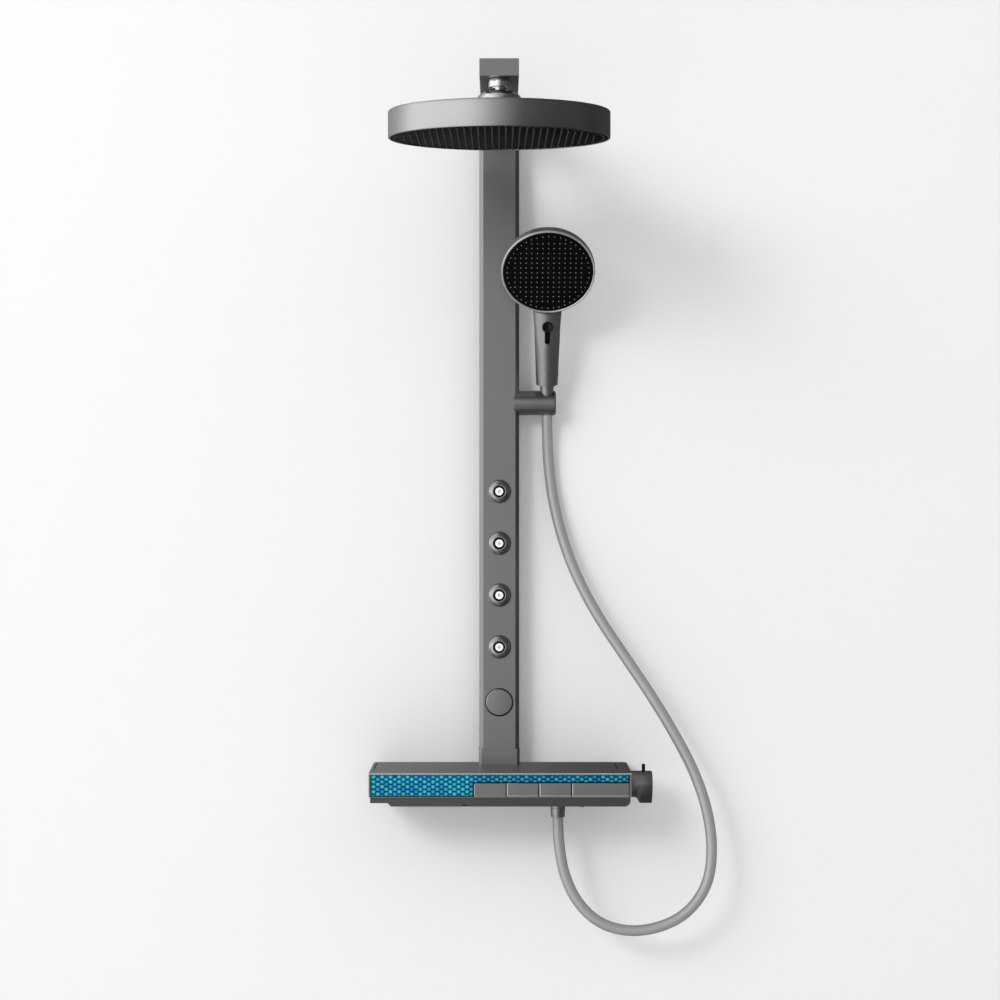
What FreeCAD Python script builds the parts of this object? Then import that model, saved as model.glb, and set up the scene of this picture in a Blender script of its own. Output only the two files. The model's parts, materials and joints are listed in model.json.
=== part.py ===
import FreeCAD, Part
import math
import os
import re
import Sketcher

# Wall-mounted shower column: a valve unit with a shelf top, a box column with four body jets, an arm with
# an overhead shower on a ball joint, and a hand shower in a tilting holder with its hose.
# X runs to the right of someone facing the shower, Y into the wall and Z up. The wall is the plane Y = 0,
# and the origin lies halfway between the hot and cold inlets.

SIZES = {
    # clearances and cuts
    "cut_overrun": 2,
    "running_gap": 0.3,
    "slide_gap": 0.5,
    # column
    "column_width": 60,
    "column_depth": 28,
    "column_bevel": 5.5,
    "column_wall": 2,
    "column_standoff": 17,
    "column_top": 990.5,
    "foot_proud": 0.7,
    "foot_bevel": 3.8,
    "foot_height": 24,
    "foot_floor": 4,
    # wall bracket
    "bracket_drop": 60.5,
    "bracket_width": 50,
    "bracket_tall": 36,
    "bracket_plate": 4,
    "bracket_neck": 14,
    "bracket_pitch": 36,
    "bracket_hole": 2.75,
    "bracket_corner": 4,
    # arm
    "arm_width": 53,
    "arm_height": 23,
    "arm_wall": 2,
    "arm_reach": 418,
    "arm_corner": 1.4,
    "cap_thick": 2.5,
    "cap_plug": 8,
    "block_depth": 42,
    "block_tongue": 34,
    # water ways
    "riser_radius": 6,
    "riser_bore": 4.8,
    "manifold_radius": 6.5,
    "manifold_bore": 5,
    "boss_bore": 4,
    # outlet and swivel
    "outlet_inset": 24,
    "fitting_radius": 13,
    "thread_radius": 10.2,
    "thread_bore": 7,
    "nut_radius": 14.5,
    "nut_length": 14.6,
    "nut_lip": 2,
    "nut_chamfer": 1,
    "ball_radius": 11,
    "ball_drop": 30.5,
    "neck_radius": 6,
    "flange_thick": 1.5,
    "stem_bore": 3.5,
    "seat_height": 5.6,
    "seat_radius": 12.4,
    "seat_bore": 7,
    "head_tilt": 3,
    # overhead shower
    "collar_radius": 32.5,
    "collar_top": 12,
    "collar_base": 13,
    "collar_lip": 10.2,
    "collar_wall": 3,
    "head_radius": 150,
    "head_height": 36.5,
    "head_wall": 2.8,
    "head_round": 2.5,
    "rim_round": 1.2,
    "head_inlet": 9,
    "face_recess": 1.2,
    "face_thick": 3,
    "mat_thick": 2,
    "mat_margin": 7,
    # body jets
    "jet_top": 436,
    "jet_pitch": 78,
    "jet_count": 4,
    "jet_hole": 12,
    "bezel_radius": 17.8,
    "bezel_proud": 9.5,
    "bezel_mouth": 8.7,
    "bezel_edge": 2,
    "bezel_crown": 4.2,
    "shank_wall": 2.1,
    "jet_ball_radius": 9.3,
    "jet_ball_proud": 3,
    "jet_tip_radius": 6.5,
    "jet_tip_proud": 11.5,
    "jet_tip_round": 1,
    # round button
    "button_level": 118.4,
    "button_radius": 21,
    "button_thick": 3.3,
    "button_proud": 1.3,
    "button_chamfer": 1.2,
    "button_stem": 4,
    "button_stem_length": 9,
    "button_valve_radius": 9,
    "button_spring_room": 6,
    "spring_wire": 0.6,
    "button_spring_radius": 6,
    # valve unit
    "shelf_left": 190.5,
    "shelf_right": 193.5,
    "shelf_top": 24.5,
    "shelf_split": -10.5,
    "shelf_back": 12,
    "shelf_front": 153,
    "shelf_wall": 3,
    "shelf_corner": 8,
    "shelf_edge": 1.2,
    "cover_inset": 2,
    "cover_gap": 0.3,
    "cover_bottom": -24,
    "cover_step": 5,
    "cover_step_at": 163,
    "cover_step_run": 5,
    "cover_corner": 9,
    "notch_at": -50.6,
    "notch_width": 8,
    "notch_height": 3,
    "foot_screw_at": 120.4,
    "foot_screw_radius": 4.2,
    "foot_screw_proud": 1.5,
    "slot_left": 186.2,
    "slot_right": 174,
    "slot_width": 1.8,
    "slot_start": 30,
    "slot_length": 70,
    "slot_depth": 1.5,
    # light panel
    "lip_height": 2,
    "panel_left": 188,
    "panel_right": 188.6,
    "panel_low": -8.7,
    "panel_step_x": -37.8,
    "panel_step_z": 11.4,
    "panel_thick": 3,
    "panel_recess": 0.8,
    "panel_round": 5,
    "board_thick": 1.6,
    "board_margin": 2,
    # keys
    "key_top": 10.6,
    "key_low": -9.3,
    "key_start": -36.8,
    "key_width": 46.6,
    "key_gap": 1.1,
    "key_thick": 8,
    "key_round": 0.8,
    "key_corner": 4.5,
    "plate_end": 189.8,
    "plunger_radius": 4,
    "cartridge_radius": 10.5,
    "seat_proud": 2,
    "cartridge_length": 27,
    "plunger_depth": 8,
    "key_spring_radius": 6.4,
    # valve body
    "valve_axis": 80,
    "valve_radius": 16,
    "valve_left": 95,
    "valve_right": 172,
    "inlet_pitch": 150,
    "inlet_leg": 11.2,
    "inlet_bore": 8,
    "union_radius": 15.5,
    "union_bore": 12.06,
    "union_length": 26,
    "union_thread": 13,
    "bonnet_radius": 16.6,
    "bonnet_proud": 3.5,
    "spindle_radius": 5,
    "spindle_length": 17,
    # knob
    "knob_start": 194.6,
    "knob_end": 227.4,
    "knob_radius": 19.5,
    "knob_recess": 3.4,
    "lug_start": 207,
    "lug_drop": 28.5,
    "lug_radius": 8,
    "knob_edge": 1,
    "pin_at": 214.9,
    "pin_radius": 2.6,
    "pin_proud": 10.4,
    "pin_sunk": 12,
    # hose outlet
    "outlet_at": 87.3,
    "outlet_boss": 13,
    "outlet_boss_drop": 19.5,
    "outlet_drop": 36.5,
    "lower_nut_top": 25,
    "lower_nut_drop": 49,
    "lower_nut_radius": 11.7,
    "lower_nut_mouth": 10.3,
    "hose_radius": 8,
    # holder
    "holder_level": 570,
    "holder_radius": 18.5,
    "holder_start": 22,
    "holder_split": 34.3,
    "holder_end": 85.2,
    "holder_round": 2,
    "holder_shaft": 9,
    "shaft_length": 20,
    "cradle_at": 71.8,
    "cradle_flat": 13.5,
    "cradle_flat_radius": 13.1,
    "holder_tilt": 20,
    # hand shower
    "nut_low": 17,
    "nut_low_radius": 9.2,
    "nut_mid_radius": 9.6,
    "nut_top": 41,
    "nut_top_radius": 12,
    "nut_seat": 31,
    "nut_thread": 10.6,
    "handle_start": 30,
    "handle_width": 33.2,
    "handle_deep": 30.4,
    "handle_mid_drop": 118.5,
    "handle_mid_width": 37.8,
    "handle_mid_deep": 31,
    "handle_neck_drop": 73.5,
    "handle_neck_width": 42.6,
    "handle_neck_deep": 22.6,
    "handle_neck_shift": -2.2,
    "handle_end_drop": 21.5,
    "handle_end_width": 50,
    "handle_end_deep": 12,
    "handle_end_shift": 8.5,
    "skirt_depth": 13,
    "spray_height": 213.5,
    "spray_shift": 20,
    "spray_tilt": 16,
    "spray_radius": 69,
    "spray_front": 12,
    "spray_rear": 14,
    "spray_cup": 64.4,
    "spray_floor": 7,
    "spray_crown": 12,
    "rim_depth": 2.5,
    "rim_chamfer": 1.4,
    "spray_plate": 3.6,
    "spray_mat": 1.2,
    "slot_drop": 91.5,
    "slot_half": 4,
    "slot_run": 22,
    "slot_sink": 4.5,
    "slot_plate": 1.5,
    "thumb_radius": 8.3,
    "thumb_thick": 2.6,
    "thumb_round": 0.8,
}

ALIAS = re.compile(r"\b[a-z]+(?:_[a-z]+)+\b")
FULL_TURN = 360
HOSE_ARC_SHARE = 0.45
HOSE_SIDES = 8

document = FreeCAD.newDocument("ShowerColumn")
sheet = document.addObject("Spreadsheet::Sheet", "Dim")
for row, (alias, size) in enumerate(SIZES.items(), 1):
    sheet.set("A%d" % row, alias)
    sheet.set("B%d" % row, str(size))
    sheet.setAlias("B%d" % row, alias)
document.recompute()
reader = document.addObject("App::FeaturePython", "Reader")
parts = {}


def bound(text):
    """The expression with each size named as a cell of the sheet."""
    return ALIAS.sub(lambda match: "Dim." + match.group(0), str(text))


def value(text):
    return float(reader.evalExpression(bound(text)))


def bind(thing, prop, text):
    thing.setExpression(prop, bound(text))


def place(thing, x="0", y="0", z="0", axis=None, turn="0"):
    """Puts an object at a bound position, turned about one axis by a bound angle."""
    if axis:
        rotation = FreeCAD.Rotation(FreeCAD.Vector(*axis), value(turn))
        thing.Placement = FreeCAD.Placement(FreeCAD.Vector(), rotation)
        if turn not in ("90", "-90"):
            bind(thing, "Placement.Rotation.Angle", turn)
    for name, text in (("x", x), ("y", y), ("z", z)):
        bind(thing, "Placement.Base." + name, text)


def keep(thing, label):
    """Marks an object as a sub-part that is exported under its label."""
    thing.Label = label
    parts[label] = thing
    return thing


def new_body(label, x="0", y="0", z="0", axis=None, turn="0", exported=True):
    body = document.addObject("PartDesign::Body", label)
    place(body, x, y, z, axis, turn)
    return keep(body, label) if exported else body


def new_sketch(body, role, offset="0", shift=("0", "0"), turn="0"):
    """A sketch on one of the body's own origin planes, moved along the plane's normal."""
    sketch = body.newObject("Sketcher::SketchObject", body.Name + "_sketch")
    plane = [item for item in body.Origin.OriginFeatures if item.Role == role][0]
    sketch.AttachmentSupport = [(plane, "")]
    sketch.MapMode = "FlatFace"
    if turn != "0":
        sketch.AttachmentOffset = FreeCAD.Placement(
            FreeCAD.Vector(), FreeCAD.Rotation(FreeCAD.Vector(0, 0, 1), value(turn))
        )
        bind(sketch, "AttachmentOffset.Rotation.Angle", turn)
    for name, text in (("x", shift[0]), ("y", shift[1]), ("z", offset)):
        bind(sketch, "AttachmentOffset.Base." + name, text)
    return sketch


def pin_point(sketch, index, end, x, y):
    """Ties a point of the sketch to bound coordinates."""
    for kind, text, axis_line in (("DistanceX", x, -2), ("DistanceY", y, -1)):
        if text == "0":
            sketch.addConstraint(Sketcher.Constraint("PointOnObject", index, end, axis_line))
        else:
            number = sketch.addConstraint(Sketcher.Constraint(kind, -1, 1, index, end, value(text)))
            bind(sketch, "Constraints[%d]" % number, text)


def draw_outline(sketch, corners):
    """A closed outline through corners (x, y) or (x, y, radius), where a radius rounds the corner."""
    spots = [FreeCAD.Vector(value(corner[0]), value(corner[1]), 0) for corner in corners]
    count = len(corners)
    entries, exits, arcs = [], [], {}
    for i, corner in enumerate(corners):
        here, before, after = spots[i], spots[i - 1], spots[(i + 1) % count]
        if len(corner) < 3:
            entries.append(here)
            exits.append(here)
            continue
        back = (before - here).normalize()
        ahead = (after - here).normalize()
        half = back.getAngle(ahead) / 2
        radius = value(corner[2])
        reach = radius / math.tan(half)
        start, end = here + back * reach, here + ahead * reach
        centre = here + (back + ahead).normalize() * (radius / math.sin(half))
        left_turn = (here - before).cross(after - here).z > 0
        entries.append(start)
        exits.append(end)
        arcs[i] = (start, end, centre, radius, left_turn)
    lines = [
        sketch.addGeometry(Part.LineSegment(exits[i], entries[(i + 1) % count]), False)
        for i in range(count)
    ]
    for i, corner in enumerate(corners):
        incoming, outgoing = lines[i - 1], lines[i]
        if i not in arcs:
            sketch.addConstraint(Sketcher.Constraint("Coincident", incoming, 2, outgoing, 1))
            pin_point(sketch, outgoing, 1, corner[0], corner[1])
            continue
        start, end, centre, radius, left_turn = arcs[i]
        first, last = (start, end) if left_turn else (end, start)
        angles = [math.atan2(spot.y - centre.y, spot.x - centre.x) for spot in (first, last)]
        circle = Part.Circle(centre, FreeCAD.Vector(0, 0, 1), radius)
        arc = sketch.addGeometry(Part.ArcOfCircle(circle, angles[0], angles[1]), False)
        ends = (1, 2) if left_turn else (2, 1)
        sketch.addConstraint(Sketcher.Constraint("Tangent", incoming, 2, arc, ends[0]))
        sketch.addConstraint(Sketcher.Constraint("Tangent", arc, ends[1], outgoing, 1))
        number = sketch.addConstraint(Sketcher.Constraint("Radius", arc, radius))
        bind(sketch, "Constraints[%d]" % number, corner[2])
        mark = sketch.addGeometry(Part.Point(spots[i]), True)
        pin_point(sketch, mark, 1, corner[0], corner[1])
        sketch.addConstraint(Sketcher.Constraint("PointOnObject", mark, 1, incoming))
        sketch.addConstraint(Sketcher.Constraint("PointOnObject", mark, 1, outgoing))


def draw_circle(sketch, x, y, radius):
    centre = FreeCAD.Vector(value(x), value(y), 0)
    index = sketch.addGeometry(Part.Circle(centre, FreeCAD.Vector(0, 0, 1), value(radius)), False)
    pin_point(sketch, index, 3, x, y)
    number = sketch.addConstraint(Sketcher.Constraint("Radius", index, value(radius)))
    bind(sketch, "Constraints[%d]" % number, radius)


def pad(body, sketch, length, reverse=False):
    feature = body.newObject("PartDesign::Pad", body.Name + "_pad")
    feature.Profile = sketch
    bind(feature, "Length", length)
    feature.Reversed = reverse
    body.Tip = feature
    return feature


def pocket(body, sketch, depth, reverse=False):
    """A cut from the sketch against its plane's normal, or along it when reversed."""
    document.recompute()
    before = body.Shape.Volume
    feature = body.newObject("PartDesign::Pocket", body.Name + "_pocket")
    feature.Profile = sketch
    bind(feature, "Length", depth)
    feature.Reversed = reverse
    body.Tip = feature
    document.recompute()
    if not body.Shape.Volume < before:
        raise RuntimeError(body.Label + ": a pocket cuts nothing")
    return feature


def spin(body, sketch, about, cut=False):
    """Turns the sketch about its own vertical or horizontal axis."""
    kind = "PartDesign::Groove" if cut else "PartDesign::Revolution"
    feature = body.newObject(kind, body.Name + "_turned")
    feature.Profile = sketch
    feature.ReferenceAxis = (sketch, [about])
    feature.Angle = FULL_TURN
    body.Tip = feature
    return feature


def turned_z(label, outline, x="0", y="0", z="0", axis=None, turn="0"):
    """A body turned about Z from corners (radius, height)."""
    body = new_body(label, x, y, z, axis, turn)
    sketch = new_sketch(body, "XZ_Plane")
    draw_outline(sketch, outline)
    spin(body, sketch, "V_Axis")
    return body


def turned_y(label, outline, x="0", y="0", z="0"):
    """A body turned about Y from corners (depth towards the wall, radius)."""
    body = new_body(label, x, y, z)
    sketch = new_sketch(body, "YZ_Plane")
    draw_outline(sketch, outline)
    spin(body, sketch, "H_Axis")
    return body


def turned_x(label, outline, x="0", y="0", z="0"):
    """A body turned about X from corners (place along X, radius)."""
    body = new_body(label, x, y, z)
    sketch = new_sketch(body, "XZ_Plane")
    draw_outline(sketch, outline)
    spin(body, sketch, "H_Axis")
    return body


def box_outline(left, right, low, high):
    return [(left, low), (right, low), (right, high), (left, high)]


def cylinder(name, radius, height, x="0", y="0", z="0", axis=None, turn="0"):
    thing = document.addObject("Part::Cylinder", name)
    bind(thing, "Radius", radius)
    bind(thing, "Height", height)
    place(thing, x, y, z, axis, turn)
    return thing


def block(name, length, width, height, x="0", y="0", z="0"):
    thing = document.addObject("Part::Box", name)
    bind(thing, "Length", length)
    bind(thing, "Width", width)
    bind(thing, "Height", height)
    place(thing, x, y, z)
    return thing


def fused(name, things):
    thing = document.addObject("Part::MultiFuse", name)
    thing.Shapes = things
    thing.Refine = True
    return thing


def cut(name, base, tool):
    thing = document.addObject("Part::Cut", name)
    thing.Base = base
    thing.Tool = tool
    return thing


def column_outline(grow, bevel):
    """The column's section from above, grown by a margin, with its two front corners bevelled."""
    half = "column_width / 2 + %s" % grow
    back = "-column_standoff + %s" % grow
    front = "-column_standoff - column_depth - %s" % grow
    return [
        ("-(%s)" % half, back),
        ("-(%s)" % half, "%s + %s" % (front, bevel)),
        ("-(%s) + %s" % (half, bevel), front),
        ("%s - %s" % (half, bevel), front),
        (half, "%s + %s" % (front, bevel)),
        (half, back),
    ]


COLUMN_FRONT = "(-column_standoff - column_depth)"
COLUMN_MIDDLE = "(-column_standoff - column_depth / 2)"
COLUMN_BOTTOM = "(shelf_top + foot_floor)"
BALL_STEP = "(180 / 6)"
RISER_X = "(-jet_hole - riser_radius)"
NIPPLE_DROP = "(nut_length + running_gap - nut_lip - flange_thick)"
ARM_INNER = "(arm_width / 2 - arm_wall)"
OUTLET = "(arm_reach - outlet_inset)"
SHANK = "(column_depth / 2 - manifold_radius)"


def make_column():
    body = new_body("column_profile")
    sketch = new_sketch(body, "XY_Plane", COLUMN_BOTTOM)
    draw_outline(sketch, column_outline("0", "column_bevel"))
    draw_outline(sketch, column_outline("-column_wall", "(column_bevel - column_wall / 2)"))
    pad(body, sketch, "column_top - %s" % COLUMN_BOTTOM)
    holes = new_sketch(body, "XZ_Plane", "-%s + cut_overrun" % COLUMN_FRONT)
    for number in range(SIZES["jet_count"]):
        draw_circle(holes, "0", "jet_top - jet_pitch * %d" % number, "jet_hole")
    draw_circle(holes, "0", "button_level", "button_radius + slide_gap")
    pocket(body, holes, "cut_overrun + column_wall * 2")
    side = new_sketch(body, "YZ_Plane", "column_width / 2 + cut_overrun")
    draw_circle(side, COLUMN_MIDDLE, "holder_level", "holder_shaft / 2")
    pocket(body, side, "cut_overrun + column_wall * 2")


def make_foot():
    body = new_body("column_foot", z="shelf_top")
    sketch = new_sketch(body, "XY_Plane")
    draw_outline(sketch, column_outline("foot_proud", "foot_bevel"))
    pad(body, sketch, "foot_height")
    socket = new_sketch(body, "XY_Plane", "foot_height")
    draw_outline(socket, column_outline("running_gap / 2", "column_bevel"))
    pocket(body, socket, "foot_height - foot_floor")
    ways = new_sketch(body, "XY_Plane", "foot_floor + cut_overrun")
    draw_circle(ways, RISER_X, COLUMN_MIDDLE, "riser_radius + running_gap")
    draw_circle(ways, "0", COLUMN_MIDDLE, "manifold_radius + running_gap")
    pocket(body, ways, "foot_floor + cut_overrun * 2")


def make_bracket():
    """The plate that is screwed to the wall, with the neck that reaches the column's back."""
    body = new_body("wall_bracket", z="column_top - bracket_drop")
    sketch = new_sketch(body, "XZ_Plane")
    draw_outline(
        sketch,
        [
            ("-bracket_width / 2", "-bracket_tall / 2", "bracket_corner"),
            ("bracket_width / 2", "-bracket_tall / 2", "bracket_corner"),
            ("bracket_width / 2", "bracket_tall / 2", "bracket_corner"),
            ("-bracket_width / 2", "bracket_tall / 2", "bracket_corner"),
        ],
    )
    pad(body, sketch, "bracket_plate")
    neck = new_sketch(body, "XZ_Plane")
    draw_outline(
        neck,
        box_outline("-bracket_neck / 2", "bracket_neck / 2", "-bracket_tall / 2", "bracket_tall / 2"),
    )
    pad(body, neck, "column_standoff")
    holes = new_sketch(body, "XZ_Plane", "bracket_plate + cut_overrun")
    for side in ("-", ""):
        draw_circle(holes, side + "bracket_pitch / 2", "0", "bracket_hole")
    pocket(body, holes, "bracket_plate + cut_overrun * 2")


def make_arm():
    body = new_body("arm_tube", z="column_top")
    sketch = new_sketch(body, "XZ_Plane", "column_standoff")
    half = "arm_width / 2"
    draw_outline(
        sketch,
        [
            ("-" + half, "0", "arm_corner"),
            (half, "0", "arm_corner"),
            (half, "arm_height", "arm_corner"),
            ("-" + half, "arm_height", "arm_corner"),
        ],
    )
    hollow = box_outline("-%s + arm_wall" % half, half + " - arm_wall", "arm_wall", "arm_height - arm_wall")
    draw_outline(sketch, hollow)
    pad(body, sketch, "arm_reach - column_standoff")
    mouth = new_sketch(body, "XY_Plane", "arm_wall + cut_overrun / 2")
    draw_outline(
        mouth,
        box_outline(
            "-" + ARM_INNER, ARM_INNER,
            COLUMN_FRONT + " + column_wall * 2", "-column_standoff - column_wall",
        ),
    )
    draw_circle(mouth, "0", "-" + OUTLET, "thread_radius + running_gap")
    pocket(body, mouth, "arm_wall + cut_overrun")


def make_arm_cap():
    """The plate that closes the arm's front end, with the plug that holds it in the tube."""
    body = new_body("arm_end_cap", z="column_top")
    sketch = new_sketch(body, "XZ_Plane", "arm_reach")
    half = "arm_width / 2"
    draw_outline(
        sketch,
        [
            ("-" + half, "0", "arm_corner"),
            (half, "0", "arm_corner"),
            (half, "arm_height", "arm_corner"),
            ("-" + half, "arm_height", "arm_corner"),
        ],
    )
    pad(body, sketch, "cap_thick")
    plug = new_sketch(body, "XZ_Plane", "arm_reach")
    inner = "arm_wall + running_gap"
    draw_outline(
        plug,
        box_outline(
            "-%s + %s" % (half, inner), "%s - (%s)" % (half, inner), inner, "arm_height - (%s)" % inner
        ),
    )
    pad(body, plug, "cap_plug", reverse=True)


def make_top_block():
    """The cast corner block that joins the column to the arm and turns the water forwards."""
    width = "(%s * 2 - running_gap)" % ARM_INNER
    upper = block(
        "block_upper", width, "block_depth", "arm_height - arm_wall * 2 - running_gap",
        "-%s / 2" % width, "-column_standoff - block_depth", "column_top + arm_wall + running_gap / 2",
    )
    lower = block(
        "block_lower", width, "column_depth - column_wall * 3 - running_gap", "block_tongue + arm_wall * 2",
        "-%s / 2" % width, "-column_standoff - column_depth + column_wall * 2 + running_gap / 2",
        "column_top - block_tongue",
    )
    solid = fused("block_solid", [upper, lower])
    rise = cylinder(
        "block_rise", "riser_bore", "block_tongue + arm_height / 2",
        RISER_X, COLUMN_MIDDLE, "column_top - block_tongue",
    )
    ahead = cylinder(
        "block_ahead", "riser_bore", "block_depth + column_standoff + %s" % COLUMN_MIDDLE,
        RISER_X, COLUMN_MIDDLE, "column_top + arm_height / 2", (1, 0, 0), "90",
    )
    keep(cut("top_block", solid, fused("block_ways", [rise, ahead])), "top_block")


def make_risers():
    """The pipe up the column, and the pipe that runs on through the arm to the outlet."""
    radius, bore = "riser_radius", "riser_bore"
    low = "valve_radius"
    turned_z(
        "riser_pipe",
        [
            (bore, low), (radius, low),
            (radius, "column_top - block_tongue"), (bore, "column_top - block_tongue"),
        ],
        x=RISER_X, y=COLUMN_MIDDLE,
    )
    turned_y(
        "arm_pipe",
        [
            ("-" + OUTLET + " + fitting_radius", bore),
            ("-" + OUTLET + " + fitting_radius", radius),
            ("-column_standoff - block_depth", radius),
            ("-column_standoff - block_depth", bore),
        ],
        x=RISER_X, z="column_top + arm_height / 2",
    )


def make_outlet():
    """The fitting in the arm's end, with the male thread that comes out below it."""
    body = new_body("outlet_nipple", y="-" + OUTLET, z="column_top")
    inner = "(%s - running_gap)" % ARM_INNER
    sketch = new_sketch(body, "XY_Plane", "arm_wall")
    draw_outline(sketch, box_outline("-" + inner, inner, "-fitting_radius", "fitting_radius"))
    pad(body, sketch, "arm_height - arm_wall * 2 - running_gap")
    thread = new_sketch(body, "XY_Plane", "arm_wall")
    draw_circle(thread, "0", "0", "thread_radius")
    pad(body, thread, "arm_wall + " + NIPPLE_DROP, reverse=True)
    bore = new_sketch(body, "XY_Plane", "arm_height / 2")
    draw_circle(bore, "0", "0", "thread_bore")
    pocket(body, bore, "arm_height / 2 + cut_overrun + " + NIPPLE_DROP)
    side = new_sketch(body, "XZ_Plane", "-fitting_radius - cut_overrun")
    draw_circle(side, RISER_X, "arm_height / 2", "riser_bore")
    pocket(body, side, "fitting_radius + cut_overrun + riser_bore", reverse=True)


def make_swivel():
    """The union nut, and the ball on its stem that the nut's lip holds."""
    mouth = "neck_radius + slide_gap * 2"
    turned_z(
        "swivel_nut",
        [
            (mouth, "-nut_length - running_gap"),
            ("nut_radius - nut_chamfer", "-nut_length - running_gap"),
            ("nut_radius", "-nut_length - running_gap + nut_chamfer"),
            ("nut_radius", "-running_gap - nut_chamfer"),
            ("nut_radius - nut_chamfer", "-running_gap"),
            ("thread_radius + running_gap", "-running_gap"),
            ("thread_radius + running_gap", "-nut_length - running_gap + nut_lip"),
            (mouth, "-nut_length - running_gap + nut_lip"),
        ],
        y="-" + OUTLET, z="column_top",
    )
    flange_low = "-nut_length - running_gap + nut_lip"
    body = turned_z(
        "ball_stem",
        [
            ("stem_bore", "-ball_drop"),
            ("neck_radius", "-ball_drop"),
            ("neck_radius", flange_low),
            ("thread_radius", flange_low),
            ("thread_radius", flange_low + " + flange_thick"),
            ("stem_bore", flange_low + " + flange_thick"),
        ],
        y="-" + OUTLET, z="column_top",
    )
    ball = new_sketch(body, "XZ_Plane", shift=("0", "-ball_drop"))
    flat = "sqrt(pow(ball_radius; 2) - pow(stem_bore; 2))"
    draw_sector(ball, flat)
    spin(body, ball, "V_Axis")


def draw_sector(sketch, flat):
    """The half section of a ball with a bore through it."""
    radius = value("ball_radius")
    bore = value("stem_bore")
    high = value(flat)
    low_spot, high_spot = FreeCAD.Vector(bore, -high, 0), FreeCAD.Vector(bore, high, 0)
    wall = sketch.addGeometry(Part.LineSegment(high_spot, low_spot), False)
    circle = Part.Circle(FreeCAD.Vector(), FreeCAD.Vector(0, 0, 1), radius)
    angle = math.atan2(high, bore)
    arc = sketch.addGeometry(Part.ArcOfCircle(circle, -angle, angle), False)
    sketch.addConstraint(Sketcher.Constraint("Coincident", wall, 1, arc, 2))
    sketch.addConstraint(Sketcher.Constraint("Coincident", wall, 2, arc, 1))
    sketch.addConstraint(Sketcher.Constraint("Coincident", arc, 3, -1, 1))
    sketch.addConstraint(Sketcher.Constraint("Vertical", wall))
    number = sketch.addConstraint(Sketcher.Constraint("Radius", arc, radius))
    bind(sketch, "Constraints[%d]" % number, "ball_radius")
    number = sketch.addConstraint(Sketcher.Constraint("DistanceX", -1, 1, wall, 1, bore))
    bind(sketch, "Constraints[%d]" % number, "stem_bore")


def head_body(label, outline):
    """A turned piece of the overhead shower, measured from the ball's centre and leaning with the head."""
    return turned_z(
        label, outline, y="-" + OUTLET, z="column_top - ball_drop", axis=(1, 0, 0), turn="head_tilt"
    )


def make_head():
    base = "-collar_base"
    head_body(
        "ball_seat_ring",
        [
            ("seat_bore", base + " + running_gap"),
            ("seat_radius", base + " + running_gap"),
            ("seat_radius", base + " + running_gap + seat_height"),
            ("seat_bore + seat_height / 2", base + " + running_gap + seat_height"),
            ("seat_bore", base + " + running_gap + seat_height / 2"),
        ],
    )
    inner = "seat_radius + running_gap"
    skin = "collar_radius - collar_wall"
    head_body(
        "head_collar",
        [
            (inner, base),
            (inner + " + collar_wall", base),
            (inner + " + collar_wall", "collar_wall"),
            (skin + " - collar_wall", "collar_wall / 3"),
            (skin, "-collar_wall"),
            (skin, base),
            ("collar_radius", base),
            ("collar_radius", "-collar_wall"),
            ("collar_radius - collar_wall / 2", "collar_wall * 2 / 3"),
            ("collar_radius - collar_wall * 2", "collar_top / 2"),
            ("(collar_radius + %s) / 2" % inner, "collar_top - collar_wall"),
            (inner, "collar_top"),
            ("collar_lip + collar_wall / 2", "collar_top"),
            ("collar_lip", "collar_top / 2"),
            (inner, "-collar_wall"),
        ],
    )
    top, bottom = base, "(-collar_base - head_height)"
    well = "head_radius - head_wall"
    head_body(
        "head_shell",
        [
            ("head_inlet", top),
            ("head_radius - head_round", top),
            ("head_radius", top + " - head_round"),
            ("head_radius", bottom + " + rim_round"),
            ("head_radius - rim_round", bottom),
            (well, bottom),
            (well, top + " - head_wall"),
            ("head_inlet", top + " - head_wall"),
        ],
    )
    plate = well + " - running_gap"
    face_low = bottom + " + face_recess"
    head_body(
        "head_face_plate",
        [
            ("0", face_low),
            (plate, face_low),
            (plate, face_low + " + face_thick"),
            ("0", face_low + " + face_thick"),
        ],
    )
    mat = well + " - mat_margin"
    head_body(
        "head_nozzle_mat",
        [
            ("0", face_low + " + face_thick"),
            (mat, face_low + " + face_thick"),
            (mat, face_low + " + face_thick + mat_thick"),
            ("0", face_low + " + face_thick + mat_thick"),
        ],
    )


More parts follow.
